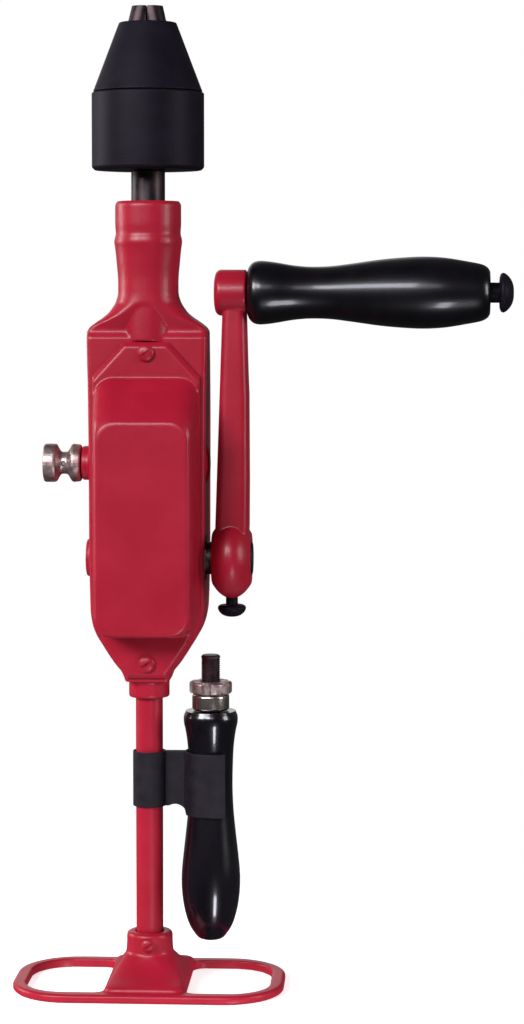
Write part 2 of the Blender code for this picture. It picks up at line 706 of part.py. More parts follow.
def make_frame_tube():
    top = CASE_BOTTOM_Z + TUBE_IN_CASE
    body = tube(TUBE_RADIUS, TUBE_RADIUS - TUBE_WALL, TUBE_BOTTOM_Z, top)
    pin_hole = as_cutter(
        hole(PIN_RADIUS + CLEARANCE, -TUBE_RADIUS - OVERRUN, TUBE_RADIUS + OVERRUN, "-Y", (0, 0,
            tube_pin_height()),
            SMALL_STEPS), "tube_pin_hole")
    screw_hole = as_cutter(
        hole(SET_SCREW_RADIUS + CLEARANCE, 0, TUBE_RADIUS + OVERRUN, "-Y", (0, 0,
            SOCKET_TOP_Z - SET_SCREW_DROP),
            SMALL_STEPS), "tube_screw_hole")
    cut(body, pin_hole, screw_hole)
    finish(body, "frame_tube", red_enamel())


def tube_pin_height():
    return CASE_BOTTOM_Z + TUBE_IN_CASE / 2


def make_tube_pin():
    back = CASE_SOCKET_RADIUS - CLEARANCE
    front = CASE_SOCKET_RADIUS - PIN_FRONT_COVER - CLEARANCE
    pin = rod(PIN_RADIUS, -back, front, "-Y", (0, 0, tube_pin_height()), SMALL_STEPS)
    finish(pin, "tube_pin", red_enamel())


# Gear case, cover and bushes

def case_ring(height, half_width, front, back, corner, front_corner=CASE_FRONT_CORNER):
    outline = rounded_rectangle(-half_width, half_width, -front, back, corner, low_corner=front_corner)
    return [(x, y, height) for x, y in outline]


def case_body():
    rings = []
    drop = CASE_RISE_TO_CRANK - CASE_SOCKET_HEIGHT + OVERLAP
    for fall, wide, deep, corner in LOWER_CASE_SHARES:
        half = CASE_SOCKET_RADIUS + wide * (CASE_HALF_WIDTH - CASE_SOCKET_RADIUS)
        rings.append(case_ring(CRANK_Z - fall * drop, half, COVER_PLANE, deep * CASE_BACK_DEPTH,
                               corner * CASE_HALF_WIDTH))
    for rise, wide, deep, corner in UPPER_CASE_SHARES:
        height = COUNTER_Z + rise * NECK_RISE
        half = wide * CASE_HALF_WIDTH
        back = deep * CASE_BACK_DEPTH
        rear_corner = corner * CASE_HALF_WIDTH
        rings.append(case_ring(height, half, COVER_PLANE, back, rear_corner))
    stepped = COVER_PLANE - CASE_FRONT_STEP
    rings.append(case_ring(height + CASE_FRONT_STEP_HEIGHT, half, stepped, back, rear_corner))
    first = SHOULDER_SHARES[0][0]
    last = SHOULDER_SHARES[-1][0]
    for rise, wide, deep in SHOULDER_SHARES:
        blend = (rise - first) / (last - first)
        front = stepped + blend * (NECK_RADIUS - stepped)
        half = NECK_RADIUS + wide * (CASE_HALF_WIDTH - NECK_RADIUS)
        corner = CASE_REAR_CORNER + blend * (NECK_RADIUS - CASE_REAR_CORNER)
        front_corner = CASE_FRONT_CORNER + blend * (NECK_RADIUS - CASE_FRONT_CORNER)
        front_corner = min(front_corner, half, front)
        rings.append(case_ring(COUNTER_Z + rise * NECK_RISE, half, front, deep * CASE_BACK_DEPTH, corner,
                               front_corner))
    for rise, wide in NECK_SHARES:
        radius = wide * NECK_RADIUS
        rings.append(case_ring(COUNTER_Z + rise * NECK_RISE, radius, radius, radius, radius, radius))
    return lofted(rings)


def case_forms():
    """What the casting has beside its body: tube socket, neck root and bosses."""
    socket_top = CASE_BOTTOM_Z + CASE_SOCKET_HEIGHT + TUBE_IN_CASE / 2
    socket = turned([(0, socket_top), (CASE_SOCKET_RADIUS, socket_top), (CASE_SOCKET_RADIUS,
            CASE_BOTTOM_Z + KNOB_EDGE),
                     (CASE_SOCKET_RADIUS - KNOB_EDGE, CASE_BOTTOM_Z), (0, CASE_BOTTOM_Z)])
    root_low = COUNTER_Z + COVER_TIP_ABOVE_COUNTER + CLEARANCE
    neck_root = rod(NECK_ROOT_RADIUS, root_low, COUNTER_Z + SHOULDER_SHARES[-1][0] * NECK_RISE)
    outer = CASE_HALF_WIDTH + COUNTER_BOSS_LENGTH
    root = CASE_HALF_WIDTH - CASE_WALL / 4
    knob_boss = turned([(0, -root), (COUNTER_BOSS_RADIUS, -root),
                        (COUNTER_BOSS_RADIUS, -outer + KNOB_EDGE), (COUNTER_BOSS_RADIUS - KNOB_EDGE,
                                                                    -outer),
                        (0, -outer)], "X", (0, 0, COUNTER_Z))
    proud = CASE_HALF_WIDTH + SMALL_BOSS_LENGTH
    dome = turned([(0, proud), (SMALL_BOSS_RADIUS * SMALL_BOSS_CROWN_SHARE, proud - KNOB_EDGE / 2),
                   (SMALL_BOSS_RADIUS, proud - 2 * KNOB_EDGE), (SMALL_BOSS_RADIUS, root), (0, root)],
                  "X", (0, 0, COUNTER_Z))
    end_boss = turned([(0, -root), (SMALL_BOSS_RADIUS, -root),
                       (SMALL_BOSS_RADIUS, -proud + KNOB_EDGE), (SMALL_BOSS_RADIUS - KNOB_EDGE, -proud), (0,
            -proud)],
                      "X", (0, 0, CRANK_Z))
    named = {"case_socket_form": socket, "neck_root_form": neck_root, "knob_boss_form": knob_boss,
             "counter_dome_form": dome, "crank_end_boss_form": end_boss}
    return [as_cutter(form, name) for name, form in named.items()]


def case_cavity():
    """The gear room: a slot with round ends about the two gear axes, open through the front."""
    height = COUNTER_Z - CRANK_Z
    points = arc((0, 0), GEAR_CAVITY_RADIUS, -math.pi / 2, math.pi / 2, GEAR_ROOM_STEPS)
    points += arc((-height, 0), GEAR_CAVITY_RADIUS, math.pi / 2, 3 * math.pi / 2, GEAR_ROOM_STEPS)
    return as_cutter(flat_outline([points], 2 * INNER_WALL_X, "X", (0, 0, CRANK_Z)), "gear_room")


def bush_radius(shaft_radius):
    return shaft_radius + CLEARANCE + BUSH_WALL


def spindle_bush_low():
    return COUNTER_Z + BEVEL_GEAR_RADIUS + PINION_HUB_LENGTH + THRUST_WASHER + 3 * CLEARANCE


def case_bores():
    crank_bore = bush_radius(CRANK_SHAFT_RADIUS) + CLEARANCE
    counter_bore = bush_radius(COUNTER_SHAFT_RADIUS) + CLEARANCE
    spindle_bore = bush_radius(SPINDLE_RADIUS) + CLEARANCE
    blind = BUSH_END_X + CLEARANCE
    low_bush_top = spindle_bush_low() + SPINDLE_LOW_BUSH_LENGTH + CLEARANCE
    high_bush_low = NECK_TOP_Z - SPINDLE_BUSH_LENGTH - CLEARANCE
    bores = {
        "crank_bore": hole(crank_bore, -blind, CASE_HALF_WIDTH + OVERRUN, "X", (0, 0, CRANK_Z)),
        "counter_bore": hole(counter_bore, -blind, blind, "X", (0, 0, COUNTER_Z)),
        "rod_bore": hole(ROD_RADIUS + CLEARANCE, -CASE_HALF_WIDTH - COUNTER_BOSS_LENGTH - OVERRUN, 0, "X",
                         (0, 0, COUNTER_Z), turn_share=0.25),
        "low_spindle_bore": hole(spindle_bore, COUNTER_Z + BEVEL_GEAR_RADIUS - OVERRUN, low_bush_top),
        "spindle_passage": hole(SPINDLE_RADIUS + 2 * CLEARANCE, COUNTER_Z + BEVEL_GEAR_RADIUS,
                                NECK_TOP_Z + OVERRUN),
        "high_spindle_bore": hole(spindle_bore, high_bush_low, NECK_TOP_Z + OVERRUN),
        "case_tube_bore": hole(TUBE_RADIUS + CLEARANCE, CASE_BOTTOM_Z - OVERRUN,
                              CASE_BOTTOM_Z + TUBE_IN_CASE + CLEARANCE),
        "case_pin_hole": hole(PIN_RADIUS + CLEARANCE, -CASE_SOCKET_RADIUS - OVERRUN,
                             CASE_SOCKET_RADIUS - PIN_FRONT_COVER, "-Y", (0, 0, tube_pin_height()),
                             SMALL_STEPS),
    }
    for name, height in cover_screw_heights().items():
        floor = COVER_PLANE + COVER_THICKNESS + CLEARANCE - COVER_SCREW_LENGTH
        bores[name + "_hole"] = hole(COVER_SCREW_RADIUS + CLEARANCE, floor, COVER_PLANE + OVERRUN, "-Y",
                                    (0, 0, height), SMALL_STEPS)
    return [as_cutter(bore, name) for name, bore in bores.items()]


def cover_screw_heights():
    return {"cover_screw_top": COUNTER_Z + COVER_SCREW_TOP_ABOVE_COUNTER,
            "cover_screw_bottom": CRANK_Z - COVER_SCREW_BOTTOM_BELOW_CRANK}


def make_gear_case():
    case = join(case_body(), *case_forms())
    cut(case, case_cavity(), *case_bores())
    finish(case, "gear_case", red_enamel())


def bulge_form(inset):
    """The cover's raised box, as rings from the case side to its front face, smaller by the inset."""
    low = CRANK_Z - BULGE_BOTTOM_BELOW_CRANK
    high = COUNTER_Z + BULGE_TOP_ABOVE_COUNTER
    depth = BULGE_DEPTH - COVER_PLANE
    start = COVER_PLANE if inset else COVER_PLANE + CLEARANCE + COVER_THICKNESS / 2
    rings = []
    for reach, narrow, fall in BULGE_SHARES:
        half = BULGE_HALF_WIDTH - narrow * (BULGE_HALF_WIDTH - BULGE_FACE_HALF) - inset
        top = high - fall * BULGE_FACE_TOP_DROP - inset
        bottom = low + narrow * BULGE_FACE_BOTTOM_RISE + inset
        forward = COVER_PLANE + CLEARANCE + reach * depth - inset if reach else start
        corner = BULGE_CORNER - inset / 2
        rings.append([(x, -forward, z) for x, z in rounded_rectangle(-half, half, bottom, top, corner)])
    return lofted(rings)


def make_front_cover():
    top = COUNTER_Z + COVER_TIP_ABOVE_COUNTER
    high = COUNTER_Z + COVER_SHOULDER_ABOVE_COUNTER
    low = CRANK_Z - COVER_SHOULDER_BELOW_CRANK
    bottom = CRANK_Z - COVER_TIP_BELOW_CRANK
    bend_x = COVER_HALF_WIDTH * COVER_LOWER_BEND_WIDTH_SHARE
    bend_z = bottom + (low - bottom) * COVER_LOWER_BEND_RISE_SHARE
    right_side = [(COVER_LOWER_TIP_HALF, bottom), (bend_x, bend_z), (COVER_HALF_WIDTH, low), (COVER_HALF_WIDTH,
            high),
                  (COVER_TIP_HALF, top)]
    outline = right_side + [(-x, z) for x, z in reversed(right_side)]
    middle = COVER_PLANE + CLEARANCE + COVER_THICKNESS / 2
    flange = flat_outline([outline], COVER_THICKNESS, "-Y", (0, -middle, 0))
    holes = []
    for name, height in cover_screw_heights().items():
        holes.append(as_cutter(hole(COVER_SCREW_RADIUS + CLEARANCE, COVER_PLANE, middle + COVER_THICKNESS,
                                    "-Y",
                                   (0, 0, height), SMALL_STEPS), name + "_cover_hole"))
    join(flange, as_cutter(bulge_form(0.0), "bulge_outside"))
    cut(flange, as_cutter(bulge_form(BULGE_WALL), "bulge_inside"), *holes)
    finish(flange, "front_cover", red_enamel())


def make_cover_screws():
    seat = COVER_PLANE + COVER_THICKNESS + 2 * CLEARANCE
    top = seat + COVER_SCREW_HEAD_HEIGHT
    end = seat - COVER_SCREW_LENGTH
    for name, height in cover_screw_heights().items():
        profile = [(0, top), (COVER_SCREW_HEAD_RADIUS * SCREW_CROWN_SHARE, top - SLOT_DEPTH / 4),
                   (COVER_SCREW_HEAD_RADIUS, seat + SLOT_DEPTH), (COVER_SCREW_HEAD_RADIUS, seat),
                   (COVER_SCREW_RADIUS, seat), (COVER_SCREW_RADIUS, end), (0, end)]
        screw = turned(profile, "-Y", (0, 0, height), SMALL_STEPS)
        cut(screw, screw_slot(name + "_slot", COVER_SCREW_HEAD_RADIUS, top, height))
        finish(screw, name, red_enamel())


def make_bushes():
    wall_low = INNER_WALL_X + CLEARANCE
    for shaft, radius, height in (("crank", CRANK_SHAFT_RADIUS, CRANK_Z), ("counter", COUNTER_SHAFT_RADIUS,
            COUNTER_Z)):
        outer = bush_radius(radius)
        right_end = CASE_HALF_WIDTH if shaft == "crank" else BUSH_END_X
        left = tube(outer, radius + CLEARANCE, -BUSH_END_X, -wall_low, "X", (0, 0, height))
        right = tube(outer, radius + CLEARANCE, wall_low, right_end, "X", (0, 0, height))
        finish(left, shaft + "_bush_left", bush_bronze())
        finish(right, shaft + "_bush_right", bush_bronze())
    low = spindle_bush_low()
    ends = {"lower": (low, low + SPINDLE_LOW_BUSH_LENGTH), "upper": (NECK_TOP_Z - SPINDLE_BUSH_LENGTH,
                                                                     NECK_TOP_Z)}
    for name, (bottom, top) in ends.items():
        bush = tube(bush_radius(SPINDLE_RADIUS), SPINDLE_RADIUS + CLEARANCE, bottom, top)
        finish(bush, "spindle_bush_" + name, bush_bronze())


# Spur gears. Their local +X points down when their axis is X.


def spur_gear(teeth, module, middle, height, bore, phase):
    pitch_radius = module * teeth / 2
    outline = toothed_outline(teeth, pitch_radius - TOOTH_DEDENDUM, pitch_radius + TOOTH_ADDENDUM, phase)
    return flat_outline([outline, bore], GEAR_WIDTH, "X", (middle, 0, height))


def make_driving_gears(parent):
    key_reach = CRANK_SHAFT_RADIUS + KEY_SIDE * KEY_DEPTH_SHARE + 2 * CLEARANCE
    bore = keyed_bore(CRANK_SHAFT_RADIUS + CLEARANCE, KEY_SIDE + 2 * CLEARANCE, key_reach)
    fast = spur_gear(LARGE_TEETH, SPUR_MODULE, FAST_MIDDLE_X, CRANK_Z, bore, 0)
    finish(fast, "fast_driving_gear", plain_steel(), parent)
    slow = spur_gear(SMALL_TEETH, SPUR_MODULE, SLOW_MIDDLE_X, CRANK_Z, bore, 0)
    finish(slow, "slow_driving_gear", plain_steel(), parent)


def make_counter_gears(fast_parent, slow_parent):
    bore = notched_bore(COUNTER_SHAFT_RADIUS + CLEARANCE, DRAW_KEY_WIDTH + 2 * NOTCH_SLACK,
                        DRAW_KEY_REACH + CLEARANCE, DRAW_NOTCHES)
    fast = spur_gear(SMALL_TEETH, SPUR_MODULE, FAST_MIDDLE_X, COUNTER_Z, bore, HALF_TOOTH_SHARE)
    finish(fast, "counter_fast_gear", plain_steel(), fast_parent)
    slow = spur_gear(LARGE_TEETH, SPUR_MODULE, SLOW_MIDDLE_X, COUNTER_Z, bore, HALF_TOOTH_SHARE)
    hub_inner = DRAW_KEY_REACH + CLEARANCE
    hub_left = GEARS_LEFT + GEAR_WIDTH + CLEARANCE
    hub_right = GEARS_RIGHT - GEAR_WIDTH + OVERLAP
    hub = as_cutter(tube(hub_inner + HUB_WALL, hub_inner, hub_left, hub_right, "X", (0, 0, COUNTER_Z)),
                    "slow_hub_form")
    finish(join(slow, hub), "counter_slow_gear", plain_steel(), slow_parent)


# Crank shaft and what turns with it


def shaft_keyway(name):
    length = GEARS_RIGHT - GEARS_LEFT + 2 * CLEARANCE
    size = (length, KEY_SIDE + 2 * CLEARANCE, KEY_SIDE + 2 * CLEARANCE)
    return as_cutter(block(size, key_centre()), name)


def key_centre():
    return ((GEARS_LEFT + GEARS_RIGHT) / 2, 0, CRANK_Z - CRANK_SHAFT_RADIUS)


def make_crank_shaft(parent):
    end = ARM_RIGHT_X + SHAFT_END_PAST_ARM
    edge = KNOB_EDGE
    shaft = bevelled_rod(CRANK_SHAFT_RADIUS, -BUSH_END_X, end, edge, "X", (0, 0, CRANK_Z))
    cut(shaft, shaft_keyway("crank_keyway"))
    finish(shaft, "crank_shaft", dark_steel(), parent)
    key = block((GEARS_RIGHT - GEARS_LEFT, KEY_SIDE, KEY_SIDE), key_centre())
    finish(key, "crank_key", plain_steel(), parent)
    inner = CRANK_SHAFT_RADIUS + CLEARANCE
    outer = bush_radius(CRANK_SHAFT_RADIUS)
    wall = INNER_WALL_X
    spacer = tube(outer, inner, -wall, GEARS_LEFT - CLEARANCE, "X", (0, 0, CRANK_Z))
    finish(spacer, "crank_spacer", plain_steel(), parent)
    washer = tube(outer + HUB_WALL / 2, inner, GEARS_RIGHT + CLEARANCE, wall, "X", (0, 0, CRANK_Z))
    finish(washer, "crank_washer", plain_steel(), parent)
    collar_right = GEARS_RIGHT - GEAR_WIDTH - CLEARANCE
    collar_inner = inner + KEY_SIDE * KEY_DEPTH_SHARE + CLEARANCE
    collar = tube(collar_inner + HUB_WALL / 2, collar_inner, GEARS_LEFT + GEAR_WIDTH + CLEARANCE,
                  collar_right, "X",
                  (0, 0, CRANK_Z))
    finish(collar, "crank_gear_spacer", plain_steel(), parent)


def make_crank_arm(parent):
    """The casting: tapered arm between a clamped lower boss and the boss of the grip's axle."""
    rise = CRANK_RADIUS
    left_low = ARM_LEFT_X + (ARM_BOSS_WIDTH - ARM_WIDTH_LOW) / 2 * ARM_INSET_SHARE
    left_high = TOP_BOSS_RIGHT_X - ARM_WIDTH_HIGH - CLEARANCE
    rings = []
    for share, swell in ARM_RING_SHARES:
        left = left_low + share * (left_high - left_low)
        width = ARM_WIDTH_LOW + share * (ARM_WIDTH_HIGH - ARM_WIDTH_LOW) + swell * ARM_SWELL
        half_depth = (ARM_DEPTH_LOW + share * (ARM_DEPTH_HIGH - ARM_DEPTH_LOW)) / 2
        outline = rounded_rectangle(left, left + width, -half_depth, half_depth, ARM_CORNER,
                                    ARM_CORNER_STEPS)
        rings.append([(x, y, CRANK_Z + share * rise) for x, y in outline])
    arm = lofted(rings)
    half = ARM_BOSS_WIDTH / 2
    rim = [(radius * ARM_BOSS_RADIUS, along * half) for along, radius in ARM_BOSS_SHARES]
    profile = [(0, half), *rim, (0, -half)]
    boss = as_cutter(turned(profile, "X", (ARM_MIDDLE_X, 0, CRANK_Z)), "arm_boss_form")
    top_half = ARM_TOP_BOSS_WIDTH / 2
    top_middle = (TOP_BOSS_LEFT_X + TOP_BOSS_RIGHT_X) / 2
    top_rim = [(radius * ARM_TOP_BOSS_RADIUS, along * top_half) for along, radius in ARM_TOP_BOSS_SHARES]
    top_profile = [(0, top_half), (ARM_TOP_BOSS_RADIUS - KNOB_EDGE, top_half),
                   (ARM_TOP_BOSS_RADIUS, top_half - KNOB_EDGE), *top_rim, (0, -top_half)]
    top_boss = as_cutter(turned(top_profile, "X", (top_middle, 0, GRIP_Z)), "arm_top_boss_form")
    shaft_hole = as_cutter(hole(CRANK_SHAFT_RADIUS + CLEARANCE, ARM_LEFT_X - OVERRUN, ARM_RIGHT_X + OVERRUN,
                                "X",
                               (0, 0, CRANK_Z)), "arm_shaft_hole")
    axle_hole = as_cutter(hole(AXLE_RADIUS + CLEARANCE, axle_left() - CLEARANCE, TOP_BOSS_RIGHT_X + OVERRUN,
                               "X",
                              (0, 0, GRIP_Z)), "arm_axle_hole")
    screw_hole = as_cutter(hole(CLAMP_SCREW_RADIUS + CLEARANCE, CRANK_Z - ARM_BOSS_RADIUS - OVERRUN,
                                CRANK_Z, "Z",
                               (ARM_MIDDLE_X, 0, 0), SMALL_STEPS), "arm_screw_hole")
    cut(join(arm, boss, top_boss), shaft_hole, axle_hole, screw_hole)
    finish(arm, "crank_arm", red_enamel(), parent)


def axle_left():
    return TOP_BOSS_LEFT_X + HUB_WALL


def make_clamp_screw(parent):
    low = CRANK_Z - ARM_BOSS_RADIUS - CLAMP_NECK
    tip = CRANK_Z - CRANK_SHAFT_RADIUS - CLEARANCE
    head = [(radius * CLAMP_HEAD_RADIUS, low - along * CLAMP_HEAD_HEIGHT) for along,
            radius in CLAMP_HEAD_SHARES]
    profile = [(0, tip), (CLAMP_SCREW_RADIUS, tip), (CLAMP_SCREW_RADIUS, low), *head]
    screw = turned(profile, "Z", (ARM_MIDDLE_X, 0, 0), SMALL_STEPS)
    finish(screw, "crank_clamp_screw", black_chuck(), parent)


def make_grip(parent):
    """The crank's turned grip with a bore for its axle; the profile runs from the outer end inwards."""
    bore = AXLE_RADIUS + CLEARANCE
    outside = [(radius * GRIP_RADIUS, along * GRIP_LENGTH + GRIP_LEFT_X)
               for along, radius in reversed(GRIP_PROFILE_SHARES)]
    profile = outside + [(bore, GRIP_LEFT_X), (bore, GRIP_RIGHT_X)]
    finish(turned(profile, "X", (0, 0, GRIP_Z)), "crank_grip", black_lacquer(), parent)


def make_grip_axle(parent):
    neck_end = GRIP_RIGHT_X + AXLE_NECK
    head = [(radius * AXLE_HEAD_RADIUS, neck_end + along * AXLE_HEAD_LENGTH) for along,
            radius in AXLE_HEAD_SHARES]
    profile = [*head, (AXLE_RADIUS, neck_end), (AXLE_RADIUS, axle_left()), (0, axle_left())]
    finish(turned(profile, "X", (0, 0, GRIP_Z), MEDIUM_STEPS), "grip_axle", black_chuck(), parent)


# Countershaft with its draw key, and the speed knob


def make_countershaft(parent):
    inner = ROD_RADIUS + CLEARANCE
    shaft = tube(COUNTER_SHAFT_RADIUS, inner, -BUSH_END_X, BUSH_END_X, "X", (0, 0, COUNTER_Z))
    half_key = DRAW_KEY_WIDTH / 2 + CLEARANCE
    slot_low = FAST_MIDDLE_X - half_key - CLEARANCE
    slot_high = SLOW_MIDDLE_X + half_key + CLEARANCE
    size = (slot_high - slot_low, 2 * half_key, 2 * (COUNTER_SHAFT_RADIUS + OVERRUN))
    slot = as_cutter(block(size, ((slot_low + slot_high) / 2, 0, COUNTER_Z)), "draw_key_slot")
    pin_hole = as_cutter(bevel_pin_form(CLEARANCE), "counter_pin_hole")
    cut(shaft, slot, pin_hole)
    finish(shaft, "countershaft", plain_steel(), parent)
    washer = tube(COUNTER_SHAFT_RADIUS + HUB_WALL, COUNTER_SHAFT_RADIUS + CLEARANCE,
                  GEARS_RIGHT + CLEARANCE,
                  INNER_WALL_X, "X", (0, 0, COUNTER_Z))
    finish(washer, "counter_washer", plain_steel(), parent)


def bevel_hub_left():
    return -INNER_WALL_X


def bevel_pin_x():
    return bevel_hub_left() + BEVEL_PIN_WALL + PINION_PIN_RADIUS


def bevel_pin_form(slack):
    """The pin through the bevel gear's hub lies beside the draw rod, across the hub's wall on each side."""
    reach = COUNTER_SHAFT_RADIUS + HUB_WALL - CLEARANCE + 3 * slack
    root = ROD_RADIUS + 2 * CLEARANCE - 3 * slack
    return rod(PINION_PIN_RADIUS + slack, root, reach, "Z", (bevel_pin_x(), 0, COUNTER_Z), SMALL_STEPS)


def bevel_ring(teeth, distance, pitch_angle, scale, phase):
    """One section of a bevel gear: its place along the axis from the cones' common tip, and its outline."""
    along = distance * scale
    root = along * math.tan(pitch_angle - BEVEL_ROOT_ANGLE)
    tip = along * math.tan(pitch_angle + BEVEL_TIP_ANGLE)
    return along, toothed_outline(teeth, root, tip, phase)


def make_counter_bevel_gear(parent):
    pitch_angle = math.atan2(BEVEL_GEAR_RADIUS, BEVEL_PINION_RADIUS)
    rings = []
    for scale in BEVEL_GEAR_SCALES_SHARES:
        along, outline = bevel_ring(BEVEL_GEAR_TEETH, BEVEL_PINION_RADIUS, pitch_angle, scale,
                                    HALF_TOOTH_SHARE)
        rings.append([(x, y, -along) for x, y in outline])
    teeth = lofted(rings, "X", (0, 0, COUNTER_Z))
    big = -rings[-1][0][2]
    root = math.hypot(*rings[-1][0][:2])
    hub = COUNTER_SHAFT_RADIUS + HUB_WALL
    inner = COUNTER_SHAFT_RADIUS + CLEARANCE
    right = GEARS_LEFT - CLEARANCE
    profile = [(hub, right), (hub, -big + OVERLAP), (root + TOOTH_ADDENDUM, -big + CLEARANCE),
               (root + TOOTH_ADDENDUM, -big - BEVEL_DISC / 2), (root * BEVEL_BACK_SHARE, -big - BEVEL_DISC),
               (hub, -big - BEVEL_DISC), (hub, bevel_hub_left()), (inner, bevel_hub_left()), (inner, right)]
    back = as_cutter(turned(profile, "X", (0, 0, COUNTER_Z)), "bevel_back_form")
    bore = as_cutter(hole(inner, -INNER_WALL_X - OVERRUN, right + OVERRUN, "X", (0, 0, COUNTER_Z)),
                     "bevel_bore")
    pin_hole = as_cutter(bevel_pin_form(CLEARANCE), "bevel_pin_hole")
    cut(join(teeth, back), bore, pin_hole)
    finish(teeth, "counter_bevel_gear", plain_steel(), parent)
    finish(bevel_pin_form(0.0), "bevel_gear_pin", plain_steel(), parent)


def make_selector(parent):
    """Draw rod, its cross key and the spool-shaped knob, in low gear with the knob pushed in."""
    knob_right = -CASE_HALF_WIDTH - COUNTER_BOSS_LENGTH - CLEARANCE
    neck_right = knob_right - KNOB_INNER_DISC
    neck_left = neck_right - KNOB_NECK_LENGTH
    knob_left = neck_left - KNOB_OUTER_DISC
    edge = KNOB_EDGE
    big = KNOB_RADIUS
    neck = KNOB_NECK_RADIUS
    flank_right = neck_right + KNOB_FLANK_IN_DISC
    flank_left = neck_left - KNOB_FLANK_IN_DISC
    profile = [(0, knob_right), (big - edge, knob_right), (big, knob_right - edge),
               (big, flank_right + edge), (big - edge, flank_right),
               (neck, neck_right - KNOB_FLANK_IN_NECK), (neck, neck_left + KNOB_FLANK_IN_NECK),
               (big - edge, flank_left), (big, flank_left - edge), (big, knob_left + edge),
               (big - edge, knob_left), (0, knob_left)]
    knob = turned(profile, "X", (0, 0, COUNTER_Z))
    rod_left = neck_left - KNOB_OUTER_DISC / 2
    rod_hole = as_cutter(hole(ROD_RADIUS + CLEARANCE, rod_left - CLEARANCE, knob_right + OVERRUN, "X",
                             (0, 0, COUNTER_Z)), "knob_rod_hole")
    pin_x = (neck_left + neck_right) / 2
    pin_half = KNOB_NECK_RADIUS - CLEARANCE
    pin_hole = as_cutter(hole(KNOB_PIN_RADIUS + CLEARANCE, -neck - OVERRUN, neck + OVERRUN, "-Y", (pin_x, 0,
            COUNTER_Z),
                             SMALL_STEPS), "knob_pin_hole")
    cut(knob, rod_hole, pin_hole)
    finish(knob, "selector_knob", bright_nickel(), parent)
    pin = rod(KNOB_PIN_RADIUS, -pin_half, pin_half, "-Y", (pin_x, 0, COUNTER_Z), SMALL_STEPS)
    finish(pin, "knob_pin", plain_steel(), parent)
    bar = rod(ROD_RADIUS, rod_left, SLOW_MIDDLE_X + GEAR_WIDTH / 2, "X", (0, 0, COUNTER_Z))
    slack = DRAW_KEY_WIDTH + 2 * CLEARANCE
    key_hole = as_cutter(block((slack, slack, 2 * (ROD_RADIUS + OVERRUN)), (SLOW_MIDDLE_X, 0, COUNTER_Z)),
                         "key_hole")
    cut(bar, key_hole, pin_hole)
    finish(bar, "selector_rod", plain_steel(), parent)
    key = block((DRAW_KEY_WIDTH, DRAW_KEY_WIDTH, 2 * DRAW_KEY_REACH), (SLOW_MIDDLE_X, 0, COUNTER_Z))
    finish(key, "selector_key", plain_steel(), parent)


# Spindle and chuck


def make_spindle(parent):
    pinion_low = COUNTER_Z + BEVEL_GEAR_RADIUS * BEVEL_PINION_SCALES_SHARES[0] - CLEARANCE
    shoulder = COUNTER_Z + BEVEL_GEAR_RADIUS + PINION_HUB_LENGTH + CLEARANCE
    nose_radius = SPINDLE_RADIUS - KNOB_EDGE
    top = CHUCK_BASE_Z + CHUCK_SOCKET_DEPTH - CLEARANCE
    base = CHUCK_BASE_Z - CLEARANCE
    seat = SPINDLE_SEAT_RADIUS
    profile = [(0, top), (nose_radius, top), (nose_radius, base), (SPINDLE_RADIUS, base), (SPINDLE_RADIUS,
            shoulder),
               (seat, shoulder), (seat, pinion_low), (0, pinion_low)]
    spindle = turned(profile)
    pin_z = shoulder - PINION_HUB_LENGTH * PINION_PIN_DROP_SHARE
    half = PINION_HUB_RADIUS - CLEARANCE
    pin_hole = as_cutter(hole(PINION_PIN_RADIUS + CLEARANCE, -half - OVERRUN, half + OVERRUN, "X", (0, 0,
            pin_z),
                         SMALL_STEPS), "pinion_pin_hole")
    cut(spindle, pin_hole)
    finish(spindle, "spindle", black_chuck(), parent)
    pin = rod(PINION_PIN_RADIUS, -half, half, "X", (0, 0, pin_z), SMALL_STEPS)
    finish(pin, "pinion_pin", plain_steel(), parent)
    washer_low = shoulder + CLEARANCE
    washer = tube(PINION_HUB_RADIUS, SPINDLE_RADIUS + CLEARANCE, washer_low, washer_low + THRUST_WASHER)
    finish(washer, "spindle_washer", plain_steel(), parent)
    make_spindle_pinion(pin_hole, shoulder - CLEARANCE, parent)


def make_spindle_pinion(pin_hole, top, parent):
    pitch_angle = math.atan2(BEVEL_PINION_RADIUS, BEVEL_GEAR_RADIUS)
    rings = []
    for scale in BEVEL_PINION_SCALES_SHARES:
        along, outline = bevel_ring(BEVEL_PINION_TEETH, BEVEL_GEAR_RADIUS, pitch_angle, scale, 0)
        rings.append([(x, y, along) for x, y in outline])
    teeth = lofted(rings, "Z", (0, 0, COUNTER_Z))
    low = COUNTER_Z + rings[-1][0][2] - OVERLAP
    hub = as_cutter(rod(PINION_HUB_RADIUS, low, top), "pinion_hub_form")
    bore = as_cutter(hole(SPINDLE_SEAT_RADIUS + CLEARANCE, COUNTER_Z, top + OVERRUN), "pinion_bore")
    cut(join(teeth, hub), bore, pin_hole)
    finish(teeth, "spindle_pinion", plain_steel(), parent)


def jaw_offset(height):
    """How far a jaw's centre line lies from the chuck's axis at a height."""
    return JAW_TIP_OFFSET + (JAW_TIP_Z - height) * math.tan(JAW_ANGLE)


def jaw_placed(obj, turn, slide=0.0):
    """Sets an upright piece that ends at height zero on a jaw's line, its top at the jaw tip."""
    lean = Matrix.Rotation(-JAW_ANGLE, 4, "Y")
    out = Matrix.Rotation(turn, 4, "Z")
    tip = Matrix.Translation((JAW_TIP_OFFSET, 0, JAW_TIP_Z))
    obj.matrix_basis = out @ tip @ lean @ Matrix.Translation((0, 0, slide))
    return obj


def jaw_turns():
    return [FIRST_JAW_ANGLE + number * math.tau / JAW_COUNT for number in range(JAW_COUNT)]


